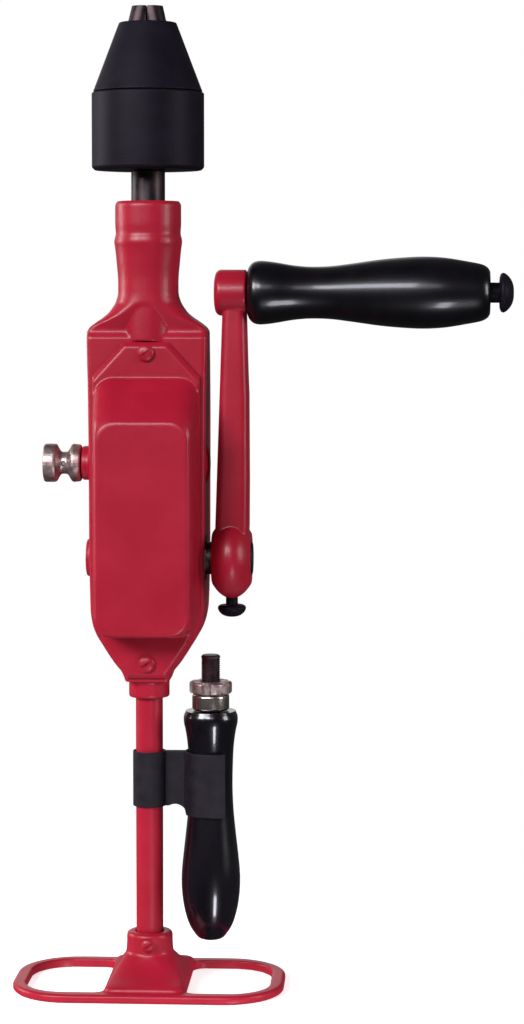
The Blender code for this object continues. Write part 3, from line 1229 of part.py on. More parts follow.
def make_chuck_body(parent):
    base = CHUCK_BASE_Z
    land = CHUCK_RADIUS - CHUCK_SLEEVE_WALL - CLEARANCE
    relief = land - CHUCK_BODY_RELIEF
    sleeve_top = base + CHUCK_REAR_HEIGHT
    groove_top = base + NUT_BOTTOM_ABOVE_BASE + NUT_HEIGHT + CLEARANCE
    jaw_bore = JAW_RADIUS + CLEARANCE
    skin = jaw_bore / math.cos(JAW_ANGLE) + CHUCK_BODY_WALL
    nose = jaw_offset(CHUCK_NOSE_Z) + skin
    throat_floor = base + CHUCK_THROAT_FLOOR
    profile = [(CHUCK_THROAT_RADIUS, CHUCK_NOSE_Z), (nose, CHUCK_NOSE_Z), (jaw_offset(groove_top) + skin,
            groove_top),
               (CHUCK_GROOVE_RADIUS, groove_top), (CHUCK_GROOVE_RADIUS, sleeve_top), (land, sleeve_top),
               (land, sleeve_top - CHUCK_LAND_HEIGHT), (relief,
                                                        sleeve_top - CHUCK_LAND_HEIGHT - CHUCK_BODY_RELIEF),
               (relief, base + CHUCK_LAND_HEIGHT + CHUCK_BODY_RELIEF), (land, base + CHUCK_LAND_HEIGHT),
               (land, base + KNOB_EDGE), (land - KNOB_EDGE, base), (SPINDLE_RADIUS - KNOB_EDGE + CLEARANCE,
                                                                    base),
               (SPINDLE_RADIUS - KNOB_EDGE + CLEARANCE, base + CHUCK_SOCKET_DEPTH),
               (0, base + CHUCK_SOCKET_DEPTH)]
    body = turned([(0, throat_floor), (CHUCK_THROAT_RADIUS, throat_floor), *profile])
    for number, turn in enumerate(jaw_turns(), 1):
        below = -JAW_LENGTH - JAW_TRAVEL - 2 * CLEARANCE
        cutter = rod(jaw_bore, below, OVERRUN, steps=MEDIUM_STEPS)
        cut(body, as_cutter(jaw_placed(cutter, turn), f"jaw_hole_{number}"))
    finish(body, "chuck_body", black_chuck(), parent)


def nut_bore(height):
    """The radius of the chuck nut's conical bore, just outside the jaws, at a height."""
    return jaw_offset(height) + (JAW_RADIUS + CLEARANCE) / math.cos(JAW_ANGLE) + CLEARANCE / 2


def make_chuck_sleeves(spindle_axis, sleeve_axis):
    base = CHUCK_BASE_Z
    top = base + CHUCK_REAR_HEIGHT
    outer = CHUCK_RADIUS
    inner = outer - CHUCK_SLEEVE_WALL
    bevel = CHUCK_CHAMFER
    seam = CHUCK_SEAM_CHAMFER
    rear = turned([(outer - seam, top), (outer, top - seam), (outer, base + bevel), (outer - bevel, base),
                   (inner, base), (inner, top)])
    finish(rear, "chuck_rear_sleeve", black_chuck(), spindle_axis)
    low = top + CLEARANCE
    skin = (JAW_RADIUS + CLEARANCE) / math.cos(JAW_ANGLE) + CHUCK_BODY_WALL + 1.5 * CLEARANCE
    nut_bottom = base + NUT_BOTTOM_ABOVE_BASE
    room_top = nut_bottom + NUT_HEIGHT + 2 * CLEARANCE
    room_wall = NUT_WALL + CLEARANCE
    nose = CHUCK_NOSE_RADIUS
    chamfer = CHUCK_NOSE_CHAMFER
    front = turned([(nose - chamfer, CHUCK_NOSE_Z), (nose, CHUCK_NOSE_Z - chamfer),
                    (outer - bevel, low + bevel),
                    (outer - seam, low), (nut_bore(nut_bottom) + room_wall, low),
                    (nut_bore(nut_bottom) + room_wall, nut_bottom), (nut_bore(room_top) + room_wall, room_top),
                    (jaw_offset(room_top) + skin, room_top), (jaw_offset(CHUCK_NOSE_Z) + skin, CHUCK_NOSE_Z)])
    finish(front, "chuck_front_sleeve", black_chuck(), sleeve_axis)
    nut_top = nut_bottom + NUT_HEIGHT
    nut = turned([(nut_bore(nut_top) + NUT_WALL, nut_top), (nut_bore(nut_bottom) + NUT_WALL, nut_bottom),
                  (nut_bore(nut_bottom), nut_bottom), (nut_bore(nut_top), nut_top)])
    finish(nut, "chuck_nut", plain_steel(), sleeve_axis)


def jaw_wedge(turn, name):
    """The upright prism that a jaw may fill: its third of the circle, less a gap, up to the tip."""
    side = math.tan(math.pi / JAW_COUNT)
    bite = JAW_BITE_RADIUS
    far = CHUCK_RADIUS
    gap = JAW_SIDE_GAP / math.cos(math.pi / JAW_COUNT)
    outline = [(bite, -(bite * side - gap)), (far, -(far * side - gap)), (far, far * side - gap),
               (bite, bite * side - gap)]
    height = JAW_SHOWN + CHUCK_LENGTH
    wedge = flat_outline([outline], height, "Z", (0, 0, 0))
    wedge.matrix_basis = Matrix.Rotation(turn, 4, "Z") @ Matrix.Translation((0, 0, JAW_TIP_Z - height / 2))
    return as_cutter(wedge, name)


def make_jaw(number, turn, parent):
    spare = JAW_RADIUS + JAW_TIP_OFFSET
    jaw = jaw_placed(rod(JAW_RADIUS, -JAW_LENGTH, spare, steps=MEDIUM_STEPS), turn)
    boolean(jaw, jaw_wedge(turn, f"jaw_wedge_{number}"), "INTERSECT")
    finish(jaw, f"chuck_jaw_{number}", dark_steel(), parent)


# Side handle, stored in its clip on the frame tube


def make_side_handle(parent):
    place = (HANDLE_AXIS_X, 0, 0)
    bore = STUD_RADIUS + CLEARANCE
    hole_low = HANDLE_TOP_Z - STUD_IN_HANDLE - CLEARANCE
    outside = [(radius * HANDLE_RADIUS, HANDLE_BASE_Z + along * HANDLE_LENGTH) for along,
               radius in HANDLE_PROFILE_SHARES]
    profile = [(0, hole_low), (bore, hole_low), (bore, HANDLE_TOP_Z), *outside, (0, HANDLE_BASE_Z)]
    finish(turned(profile, "Z", place), "side_handle", black_lacquer(), parent)
    stud = bevelled_rod(STUD_RADIUS, HANDLE_TOP_Z - STUD_IN_HANDLE, RING_TOP_Z + STUD_PAST_RING, KNOB_EDGE,
                        "Z", place,
                        MEDIUM_STEPS)
    finish(stud, "handle_stud", dark_steel(), parent)
    low = HANDLE_TOP_Z + CLEARANCE
    lip = FERRULE_RADIUS - KNOB_EDGE
    ferrule = turned([(lip, FERRULE_TOP_Z), (FERRULE_RADIUS, FERRULE_TOP_Z - KNOB_EDGE),
                      (FERRULE_RADIUS, low + KNOB_EDGE), (lip, low), (bore, low), (bore, FERRULE_TOP_Z)],
                      "Z", place)
    finish(ferrule, "handle_ferrule", bright_nickel(), parent)


def make_lock_ring(parent):
    """The nut that locks the handle's stud, with scallops round its edge."""
    low = FERRULE_TOP_Z + CLEARANCE
    edge = KNOB_EDGE
    ring = turned([(LOCK_RING_RADIUS - edge, RING_TOP_Z), (LOCK_RING_RADIUS, RING_TOP_Z - edge),
                   (LOCK_RING_RADIUS, low + edge), (LOCK_RING_RADIUS - edge, low), (STUD_RADIUS + CLEARANCE,
            low),
                   (STUD_RADIUS + CLEARANCE, RING_TOP_Z)], "Z", (HANDLE_AXIS_X, 0, 0))
    for number in range(LOCK_RING_NOTCHES):
        angle = (number + LOCK_RING_FIRST_NOTCH_SHARE) * math.tau / LOCK_RING_NOTCHES
        place = (HANDLE_AXIS_X + LOCK_RING_RADIUS * math.cos(angle), LOCK_RING_RADIUS * math.sin(angle), 0)
        scallop = rod(LOCK_RING_NOTCH_RADIUS, low - OVERRUN, RING_TOP_Z + OVERRUN, "Z", place,
                      SMALL_STEPS // 2)
        cut(ring, as_cutter(scallop, f"ring_scallop_{number + 1}"))
    finish(ring, "lock_ring", bright_nickel(), parent)


def handle_radius(height):
    """The side handle's radius at a height, between the points of its profile."""
    along = (height - HANDLE_BASE_Z) / HANDLE_LENGTH
    for (high, wide), (low, narrow) in zip(HANDLE_PROFILE_SHARES, HANDLE_PROFILE_SHARES[1:]):
        if low <= along <= high:
            return HANDLE_RADIUS * (narrow + (wide - narrow) * (along - low) / (high - low))
    return HANDLE_RADIUS


def make_handle_clip():
    """One bent strip: a ring round the tube, a web and two arms round the front and back of the handle."""
    tube_inner = TUBE_RADIUS + CLEARANCE
    tube_outer = tube_inner + CLIP_SHEET
    arm_inner = max(handle_radius(CLIP_LOW_Z), handle_radius(CLIP_HIGH_Z)) + CLEARANCE
    arm_outer = arm_inner + CLIP_SHEET
    web = CLIP_WEB_HALF
    tube_turn = math.asin(web / tube_outer)
    arm_turn = math.asin(web / arm_outer)
    handle = (HANDLE_AXIS_X, 0)
    lip = HANDLE_AXIS_X + CLIP_LIP
    edge = arc((0, 0), tube_outer, tube_turn, math.tau - tube_turn, CLIP_RING_STEPS)
    edge += arc(handle, arm_outer, math.pi + arm_turn, 3 * math.pi / 2, CLIP_ARM_STEPS)
    edge += [(lip, -arm_outer), (lip, -arm_inner)]
    edge += arc(handle, arm_inner, 3 * math.pi / 2, math.pi / 2, 2 * CLIP_ARM_STEPS)
    edge += [(lip, arm_inner), (lip, arm_outer)]
    edge += arc(handle, arm_outer, math.pi / 2, math.pi - arm_turn, CLIP_ARM_STEPS)
    round_hole = bore_outline(tube_inner)
    height = CLIP_HIGH_Z - CLIP_LOW_Z
    clip = flat_outline([edge, round_hole], height, "Z", (0, 0, (CLIP_HIGH_Z + CLIP_LOW_Z) / 2))
    arch_radius = (CLIP_ARCH_HALF**2 + CLIP_ARCH_RISE**2) / (2 * CLIP_ARCH_RISE)
    arch_x = (tube_outer + HANDLE_AXIS_X - arm_outer) / 2
    arch = rod(arch_radius, -arm_outer - OVERRUN, arm_outer + OVERRUN, "-Y",
               (arch_x, 0, CLIP_LOW_Z + CLIP_ARCH_RISE - arch_radius))
    step_left = -tube_outer - OVERRUN
    step = block((arch_x - step_left, 2 * (tube_outer + OVERRUN), CLIP_RING_RISE + OVERRUN),
                 ((arch_x + step_left) / 2, 0, CLIP_LOW_Z + (CLIP_RING_RISE - OVERRUN) / 2))
    cut(clip, as_cutter(step, "clip_ring_step"), as_cutter(arch, "clip_arch"))
    finish(clip, "handle_clip", black_sheet())


def build():
    clear_scene()
    new_collection(PARTS)
    new_collection(CUTTERS)
    crank_axis = axis_empty("crank_axis", (0, 0, CRANK_Z))
    counter_axis = axis_empty("counter_axis", (0, 0, COUNTER_Z))
    fast_axis = axis_empty("fast_gear_axis", (FAST_MIDDLE_X, 0, COUNTER_Z))
    slow_axis = axis_empty("slow_gear_axis", (SLOW_MIDDLE_X, 0, COUNTER_Z))
    selector_axis = axis_empty("selector_axis", (-CASE_HALF_WIDTH, 0, COUNTER_Z), counter_axis)
    spindle_axis = axis_empty("spindle_axis", (0, 0, NECK_TOP_Z))
    sleeve_axis = axis_empty("chuck_sleeve_axis", (0, 0, CHUCK_BASE_Z), spindle_axis)
    grip_axis = axis_empty("grip_axis", (GRIP_LEFT_X, 0, GRIP_Z), crank_axis)
    clamp_axis = axis_empty("clamp_screw_axis", (ARM_MIDDLE_X, 0, CRANK_Z), crank_axis)
    handle_axis = axis_empty("side_handle_axis", (HANDLE_AXIS_X, 0, HANDLE_BASE_Z))
    ring_axis = axis_empty("lock_ring_axis", (HANDLE_AXIS_X, 0, RING_TOP_Z), handle_axis)
    make_breast_plate()
    make_plate_screw()
    make_frame_tube()
    make_tube_pin()
    make_gear_case()
    make_front_cover()
    make_cover_screws()
    make_bushes()
    make_driving_gears(crank_axis)
    make_crank_shaft(crank_axis)
    make_crank_arm(crank_axis)
    make_grip_axle(crank_axis)
    make_clamp_screw(clamp_axis)
    make_grip(grip_axis)
    make_counter_gears(fast_axis, slow_axis)
    make_countershaft(counter_axis)
    make_counter_bevel_gear(counter_axis)
    make_selector(selector_axis)
    make_spindle(spindle_axis)
    make_chuck_body(spindle_axis)
    make_chuck_sleeves(spindle_axis, sleeve_axis)
    for number, turn in enumerate(jaw_turns(), 1):
        make_jaw(number, turn, spindle_axis)
    make_handle_clip()
    make_side_handle(handle_axis)
    make_lock_ring(ring_axis)


build()
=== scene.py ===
"""Looks of the two-speed breast drill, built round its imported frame."""

import json
import math

import bpy
import numpy as np
from mathutils import Matrix, Vector

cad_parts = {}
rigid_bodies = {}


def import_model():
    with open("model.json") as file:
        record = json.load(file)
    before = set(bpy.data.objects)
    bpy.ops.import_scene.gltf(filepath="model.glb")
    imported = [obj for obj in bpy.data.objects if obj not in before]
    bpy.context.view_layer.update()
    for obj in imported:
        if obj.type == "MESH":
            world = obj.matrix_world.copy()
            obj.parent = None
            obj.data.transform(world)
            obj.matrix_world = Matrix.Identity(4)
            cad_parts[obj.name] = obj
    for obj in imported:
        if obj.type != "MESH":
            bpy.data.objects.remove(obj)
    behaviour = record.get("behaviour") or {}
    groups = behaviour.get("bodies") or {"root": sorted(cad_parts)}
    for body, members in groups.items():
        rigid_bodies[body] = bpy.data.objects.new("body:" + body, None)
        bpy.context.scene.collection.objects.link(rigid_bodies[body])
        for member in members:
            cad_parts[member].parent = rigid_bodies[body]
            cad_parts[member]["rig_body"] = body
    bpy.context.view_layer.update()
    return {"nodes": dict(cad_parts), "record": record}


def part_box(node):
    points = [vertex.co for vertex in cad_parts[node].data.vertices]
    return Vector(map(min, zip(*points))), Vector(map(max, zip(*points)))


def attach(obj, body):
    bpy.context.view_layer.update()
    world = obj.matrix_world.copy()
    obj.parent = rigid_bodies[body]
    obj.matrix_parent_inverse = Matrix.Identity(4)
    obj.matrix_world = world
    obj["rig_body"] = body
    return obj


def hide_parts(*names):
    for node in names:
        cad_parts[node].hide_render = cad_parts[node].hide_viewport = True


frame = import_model()

MM = 0.001
# Sides of a round piece, and of a small one
ROUND = 96
FINE = 48
NOISE_ROUGHNESS = 0.55

# Sizes in millimetres. Bores first, then how far a cutter runs past a face and the gap between pieces.
TUBE_BORE = 5.7
PIN_BORE = 1.8
SET_SCREW_BORE = 1.7
COVER_SCREW_BORE = 1.9
ROD_BORE = 2.6
STUD_BORE = 4.1
AXLE_BORE = 4.3
OVERRUN = 2
CLEARANCE = 0.3

# Breast plate and screws
PLATE_TOP = 3.5
PLATE_HALF_LENGTH = 54.2
PLATE_HALF_DEPTH = 30.8
PLATE_CORNER = 23.5
WINDOW_HALF_DEPTH = 25.4
WINDOW_START = 15.8
WINDOW_END = 48.8
WINDOW_CORNER = 18.1
WINDOW_INNER_CORNER = 5.0
PEDESTAL_RISE = 18.7
SET_SCREW_HEAD = 2.6
COVER_SCREW_HEAD = 3.4
COVER_SCREW_SHANK = 1.6
# How far a driver slot is turned from level, in degrees
SLOT_TURN = 35

# Gear case and cover
CASE_FRONT = 10.0
CASE_FRONT_CORNER = 1.8
CASE_STEP_FRONT = 8.6
CASE_STEP_HEIGHT = 2.2
NECK_RADIUS = 12.0
BOSS_ROOT = 22.45
BOSS_END = 24.7
BOSS_RADIUS = 7.5
GEAR_ROOM = 27.4
GEAR_ROOM_HALF = 18.5
BUSH_END = 21.8
CRANK_BUSH_BORE = 8.8
COUNTER_BUSH_BORE = 7.3
SPINDLE_BUSH_BORE = 9.0
SPINDLE_PASSAGE = 7.3
FLANGE_BACK = 10.3
FLANGE_HALF = 21.3
BULGE_HALF = 20.6
BULGE_SIDE_TAPER = 3.4
BULGE_TOP = 35
BULGE_TOP_FALL = 17.5
BULGE_BOTTOM = 29.5
BULGE_BOTTOM_RISE = 2.2
BULGE_DEPTH = 20
BULGE_CORNER = 7.5
BULGE_WALL = 1.6

# Crank arm, from the crank axis up to the grip, then shaft, grip and knob
ARM_RISE = 105.5
ARM_WIDTH_LOW = 12.7
ARM_WIDTH_HIGH = 9.0
ARM_DEPTH_LOW = 19.0
ARM_DEPTH_HIGH = 12.6
ARM_START_LOW = 26.46
ARM_START_HIGH = 29.8
ARM_BOSS_RADIUS = 16
ARM_BOSS_HALF = 7.8
ARM_TOP_MIDDLE = 32.7
ARM_TOP_HALF = 6.4
ARM_TOP_RADIUS = 9.1
SHAFT_RADIUS = 6.5
SHAFT_BORE = 6.8
GRIP_RADIUS = 14.2
KNOB_RADIUS = 7.65
KNOB_RIM = 7.3
KNOB_WAIST = 4.4

# Side handle and its clip
HANDLE_RADIUS = 11.8
STUD_RADIUS = 3.8
THREAD_ROOT = 3.45
THREAD_PITCH = 0.8
RING_RADIUS = 8.5
CLIP_RADIUS = 6.6
CLIP_ARM_RADIUS = 10.5
CLIP_REACH = 6.4
CLIP_SHEET = 0.9
CLIP_STEP = 3.3
CLIP_ARCH_RISE = 4.0
CLIP_ARCH_HALF = 4.6

# Chuck and spindle
JAW_LEAN = math.radians(15)
JAW_TIP_OFFSET = 2.1
JAW_RADIUS = 4.2
JAW_GAP = 0.5
JAW_BORE = 4.5
CHUCK_RADIUS = 20.3
SLEEVE_RADIUS = 22.2
SLEEVE_INSIDE = 20.6
FRONT_SLEEVE_RADIUS = 21.7
NUT_ROOM = 6.7
SPINDLE_TIP_RADIUS = 6.1
SPINDLE_RADIUS = 6.7
SPINDLE_LOW_RADIUS = 5.6

TURN = {
    "Z": Matrix.Identity(4),
    "X": Matrix.Rotation(math.pi / 2, 4, "Y"),
    "-Y": Matrix.Rotation(math.pi / 2, 4, "X"),
}

# Heights on the drill's axis, in millimetres, read from the frame's own pieces


def low(node, axis=2):
    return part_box(node)[0][axis] / MM


def high(node, axis=2):
    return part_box(node)[1][axis] / MM


def middle(node, axis=2):
    return (low(node, axis) + high(node, axis)) / 2


CRANK_Z = middle("crank_washer")
COUNTER_Z = middle("counter_washer")
GRIP_Z = middle("crank_grip")
NECK_TOP = high("gear_case")
HANDLE_X = middle("handle_stud", 0)


# Shader building


class Wire:
    """A value in a material's nodes. Arithmetic on it adds math nodes."""

    def __init__(self, tree, socket):
        self.tree = tree
        self.socket = socket

    def math(self, operation, other=None, clamp=False):
        node = self.tree.nodes.new("ShaderNodeMath")
        node.operation = operation
        node.use_clamp = clamp
        for slot, value in enumerate((self, other)):
            if value is not None:
                feed(self.tree, node.inputs[slot], value)
        return Wire(self.tree, node.outputs[0])

    def __add__(self, other):
        return self.math("ADD", other)

    def __radd__(self, other):
        return self.math("ADD", other)

    def __mul__(self, other):
        return self.math("MULTIPLY", other)

    def __rmul__(self, other):
        return self.math("MULTIPLY", other)

    def __sub__(self, other):
        return self.math("SUBTRACT", other)

    def __rsub__(self, other):
        return (self * -1).math("ADD", other)

    def __truediv__(self, other):
        return self.math("DIVIDE", other)

    def between(self, start, end):
        """0 below start, 1 above end."""
        return ((self - start) / (end - start)).math("ADD", 0, clamp=True)


def feed(tree, socket, value):
    if isinstance(value, Wire):
        tree.links.new(value.socket, socket)
    else:
        socket.default_value = value


class Finish:
    """A material with a principled surface, and the ways to add nodes to it."""

    def __init__(self, name, **sockets):
        self.material = bpy.data.materials.new(name)
        self.material.use_nodes = True
        self.tree = self.material.node_tree
        self.surface = self.tree.nodes["Principled BSDF"]
        self.set(**sockets)

    def set(self, **sockets):
        for name, value in sockets.items():
            feed(self.tree, self.surface.inputs[name.replace("_", " ")], value)

    def node(self, kind, settings=(), output=0, **sockets):
        node = self.tree.nodes.new("ShaderNode" + kind)
        for name, value in dict(settings).items():
            setattr(node, name, value)
        for name, value in sockets.items():
            feed(self.tree, node.inputs[name.replace("_", " ")], value)
        return Wire(self.tree, node.outputs[output])

    def place(self, scale=(1, 1, 1)):
        """Object coordinates in metres, stretched."""
        here = self.node("TexCoord", output="Object")
        return self.node("Mapping", {"vector_type": "POINT"}, Vector=here, Scale=scale)

    def noise(self, scale, detail, stretch=(1, 1, 1)):
        return self.node("TexNoise", Vector=self.place(stretch), Scale=scale, Detail=detail,
                         Roughness=NOISE_ROUGHNESS)

    def mix(self, amount, first, second):
        node = self.tree.nodes.new("ShaderNodeMix")
        node.data_type = "RGBA"
        feed(self.tree, node.inputs[0], amount)
        feed(self.tree, node.inputs[6], first)
        feed(self.tree, node.inputs[7], second)
        return Wire(self.tree, node.outputs[2])

    def bump(self, height, strength, distance):
        node = self.tree.nodes.new("ShaderNodeBump")
        node.inputs["Strength"].default_value = strength
        node.inputs["Distance"].default_value = distance
        feed(self.tree, node.inputs["Height"], height)
        self.tree.links.new(node.outputs[0], self.surface.inputs["Normal"])


def linear(red, green, blue):
    """A display colour, 0 to 255, as the linear colour that a shader takes."""
    values = []
    for value in (red, green, blue):
        share = value / 255
        values.append(share / 12.92 if share <= 0.04045 else ((share + 0.055) / 1.055) ** 2.4)
    return (*values, 1)


def red_enamel():
    finish = Finish("red_enamel", Coat_Weight=0.06, Coat_Roughness=0.15, Specular_IOR_Level=0.25)
    broad = finish.noise(38, 4)
    fine = finish.noise(900, 2)
    shade = finish.mix(broad.between(0.38, 0.68), linear(168, 22, 46), linear(180, 28, 54))
    finish.set(Base_Color=shade, Roughness=0.3 + 0.12 * broad)
    finish.bump(0.7 * finish.noise(420, 3) + 0.3 * fine, 0.16, 0.0004)
    return finish.material


def blackened_steel():
    finish = Finish("blackened_steel", Specular_IOR_Level=0.08)
    patches = finish.noise(60, 5)
    rings = finish.noise(260, 2, (0.05, 0.05, 6))
    shade = finish.mix(patches.between(0.35, 0.7), linear(19, 14, 25), linear(31, 25, 38))
    finish.set(Base_Color=shade, Roughness=0.42 + 0.16 * patches)
    finish.bump(rings * 0.6 + finish.noise(1500, 2) * 0.4, 0.12, 0.0003)
    return finish.material


def dark_steel(name, worn, bare):
    finish = Finish(name, Metallic=0.85)
    patches = finish.noise(140, 5)
    shade = finish.mix(patches.between(0.3, 0.72), worn, bare)
    finish.set(Base_Color=shade, Roughness=0.28 + 0.25 * patches)
    finish.bump(finish.noise(700, 3, (1, 1, 0.1)), 0.15, 0.0003)
    return finish.material


def black_lacquer():
    finish = Finish("black_lacquer", Coat_Weight=0.3, Coat_Roughness=0.12, Specular_IOR_Level=0.3)
    grain = finish.noise(160, 4, (0.12, 1, 1))
    shade = finish.mix(grain.between(0.35, 0.75), linear(6, 4, 9), linear(15, 11, 19))
    finish.set(Base_Color=shade, Roughness=0.24 + 0.12 * finish.noise(50, 3))
    finish.bump(grain * 0.6 + finish.noise(35, 2) * 0.4, 0.08, 0.0006)
    return finish.material


def black_lacquer_upright():
    finish = Finish("black_lacquer_upright", Coat_Weight=0.85, Coat_Roughness=0.1, Specular_IOR_Level=0.3)
    grain = finish.noise(160, 4, (1, 1, 0.12))
    shade = finish.mix(grain.between(0.35, 0.75), linear(8, 5, 12), linear(20, 15, 25))
    finish.set(Base_Color=shade, Roughness=0.2 + 0.12 * finish.noise(50, 3))
    finish.bump(grain * 0.6 + finish.noise(35, 2) * 0.4, 0.1, 0.0006)
    return finish.material


def black_sheet():
    finish = Finish("black_sheet", Specular_IOR_Level=0.2)
    mottle = finish.noise(220, 4)
    shade = finish.mix(mottle.between(0.35, 0.7), linear(24, 18, 29), linear(36, 29, 40))
    finish.set(Base_Color=shade, Roughness=0.5 + 0.2 * mottle)
    finish.bump(mottle * 0.5 + finish.noise(1300, 2) * 0.5, 0.2, 0.0003)
    return finish.material


def nickel():
    finish = Finish("nickel", Metallic=1.0)
    stains = finish.noise(180, 5)
    shade = finish.mix(stains.between(0.4, 0.7), linear(222, 210, 204), linear(172, 154, 148))
    finish.set(Base_Color=shade, Roughness=0.14 + 0.2 * stains)
    finish.bump(finish.noise(1200, 3, (1, 1, 0.2)), 0.12, 0.0002)
    return finish.material


def worn_nickel():
    finish = Finish("worn_nickel")
    stains = finish.noise(420, 5)
    lines = finish.noise(300, 2, (5, 0.3, 0.3))
    shade = finish.mix(stains.between(0.35, 0.68), linear(205, 184, 182), linear(128, 104, 102))
    finish.set(Base_Color=shade, Metallic=0.75 + 0.2 * lines, Roughness=0.3 + 0.22 * stains)
    finish.bump(lines * 0.6 + finish.noise(1300, 3) * 0.4, 0.3, 0.0004)
    return finish.material


def machined_steel():
    finish = Finish("machined_steel", Metallic=1.0)
    streaks = finish.noise(300, 4, (6, 0.4, 0.4))
    shade = finish.mix(streaks.between(0.3, 0.7), linear(150, 148, 145), linear(188, 186, 182))
    finish.set(Base_Color=shade, Roughness=0.25 + 0.2 * streaks)
    finish.bump(streaks, 0.12, 0.0002)
    return finish.material


def bearing_bronze():
    finish = Finish("bearing_bronze", Metallic=1.0)
    oil = finish.noise(240, 4)
    shade = finish.mix(oil.between(0.35, 0.7), linear(104, 78, 52), linear(66, 48, 34))
    finish.set(Base_Color=shade, Roughness=0.25 + 0.25 * oil)
    finish.bump(finish.noise(900, 3), 0.15, 0.0002)
    return finish.material


FINISHES = {
    "red_enamel": red_enamel(),
    "black_steel": blackened_steel(),
    "dark_steel": dark_steel("dark_steel", linear(32, 25, 28), linear(60, 49, 51)),
    "stud_steel": dark_steel("stud_steel", linear(66, 50, 56), linear(104, 86, 92)),
    "black_lacquer": black_lacquer(),
    "black_lacquer_upright": black_lacquer_upright(),
    "black_sheet": black_sheet(),
    "nickel": nickel(),
    "worn_nickel": worn_nickel(),
    "steel": machined_steel(),
    "bronze": bearing_bronze(),
}

# Shape building. Points are in millimetres and meshes in metres.


def arc(cx, cy, radius, start, end, steps):
    angles = np.linspace(start, end, steps + 1)
    return [(cx + radius * math.cos(angle), cy + radius * math.sin(angle)) for angle in angles]


def softened(profile, radius, steps=4):
    """A profile with its corners rounded, by less where its sides are short."""
    points = [np.array(point, float) for point in profile]
    closed = profile[0][0] > 0
    made = []
    for number, here in enumerate(points):
        if not closed and number in (0, len(points) - 1):
            made.append(tuple(here))
            continue
        before = points[number - 1]
        after = points[(number + 1) % len(points)]
        back = before - here
        forward = after - here
        reach = min(radius, 0.45 * np.linalg.norm(back), 0.45 * np.linalg.norm(forward))
        turn = np.dot(back, forward) / (np.linalg.norm(back) * np.linalg.norm(forward))
        if turn < -0.97 or reach < 0.02:
            made.append(tuple(here))
            continue
        start = here + back / np.linalg.norm(back) * reach
        end = here + forward / np.linalg.norm(forward) * reach
        for step in range(steps + 1):
            share = step / steps
            made.append(tuple((1 - share) ** 2 * start + 2 * share * (1 - share) * here + share**2 * end))
    return made


def splined(points, steps=5):
    """A smooth line through points, at even steps of each stretch."""
    knots = np.array(points, float)
    ends = np.vstack([2 * knots[0] - knots[1], knots, 2 * knots[-1] - knots[-2]])
    made = []
    for number in range(1, len(ends) - 2):
        p0, p1, p2, p3 = ends[number - 1 : number + 3]
        for step in range(steps):
            t = step / steps
            made.append(
                tuple(0.5 * (2 * p1 + (p2 - p0) * t + (2 * p0 - 5 * p1 + 4 * p2 - p3) * t**2
                             + (3 * p1 - p0 - 3 * p2 + p3) * t**3)))
    made.append(tuple(knots[-1]))
    return made


def eased(rows, steps):
    """Rows of numbers, with steady cubic steps between them that never overshoot."""
    table = np.array(rows, float)
    x = table[:, 0]
    gaps = np.diff(x)
    slopes = np.diff(table[:, 1:], axis=0) / gaps[:, None]
    tangents = np.zeros_like(table[:, 1:])
    tangents[0], tangents[-1] = slopes[0], slopes[-1]
    for number in range(1, len(rows) - 1):
        product = slopes[number - 1] * slopes[number]
        total = slopes[number - 1] + slopes[number]
        same = product > 0
        tangents[number] = np.where(same, 2 * product / np.where(same, total, 1), 0)
    made = []
    for number, gap in enumerate(gaps):
        for step in range(steps):
            t = step / steps
            y = ((2 * t**3 - 3 * t**2 + 1) * table[number, 1:]
                 + (t**3 - 2 * t**2 + t) * gap * tangents[number]
                 + (3 * t**2 - 2 * t**3) * table[number + 1, 1:]
                 + (t**3 - t**2) * gap * tangents[number + 1])
            made.append((x[number] + t * gap, *y))
    made.append(tuple(table[-1]))
    return made


def mesh_object(name, vertices, faces, axis="Z", place=(0, 0, 0)):
    mesh = bpy.data.meshes.new(name)
    mesh.from_pydata([tuple(value * MM for value in vertex) for vertex in vertices], [], faces)
    mesh.validate()
    obj = bpy.data.objects.new(name, mesh)
    obj.matrix_basis = Matrix.Translation([value * MM for value in place]) @ TURN[axis]
    bpy.context.scene.collection.objects.link(obj)
    return obj


def lathe(name, profile, axis="Z", place=(0, 0, 0), steps=ROUND):
    """A turned solid from (radius, height) points, top to bottom down its outer side."""
    closed = profile[0][0] > 0
    vertices, rows = [], []
    for radius, height in profile:
        if radius < 1e-6:
            rows.append([len(vertices)] * steps)
            vertices.append((0, 0, height))
            continue
        rows.append(list(range(len(vertices), len(vertices) + steps)))
        for step in range(steps):
            angle = math.tau * step / steps
            vertices.append((radius * math.cos(angle), radius * math.sin(angle), height))
    faces = []
    pairs = list(zip(rows, rows[1:])) + ([(rows[-1], rows[0])] if closed else [])
    for upper, lower in pairs:
        for step in range(steps):
            after = (step + 1) % steps
            loop = [upper[step], lower[step], lower[after], upper[after]]
            face = [corner for spot, corner in enumerate(loop) if corner not in loop[:spot]]
            if len(face) > 2:
                faces.append(face)
    return mesh_object(name, vertices, faces, axis, place)


def loft(name, rings, axis="Z", place=(0, 0, 0)):
    """A solid through rings of as many points each, with flat ends."""
    count = len(rings[0])
    vertices = [point for ring in rings for point in ring]
    faces = []
    for row in range(len(rings) - 1):
        below = row * count
        above = below + count
        for spot in range(count):
            after = (spot + 1) % count
            faces.append((below + spot, below + after, above + after, above + spot))
    faces.append(tuple(range(count))[::-1])
    faces.append(tuple(range((len(rings) - 1) * count, len(rings) * count)))
    return mesh_object(name, vertices, faces, axis, place)


def prism(name, outline, low_z, high_z, axis="Z", place=(0, 0, 0)):
    rings = [[(x, y, z) for x, y in outline] for z in (low_z, high_z)]
    return loft(name, rings, axis, place)


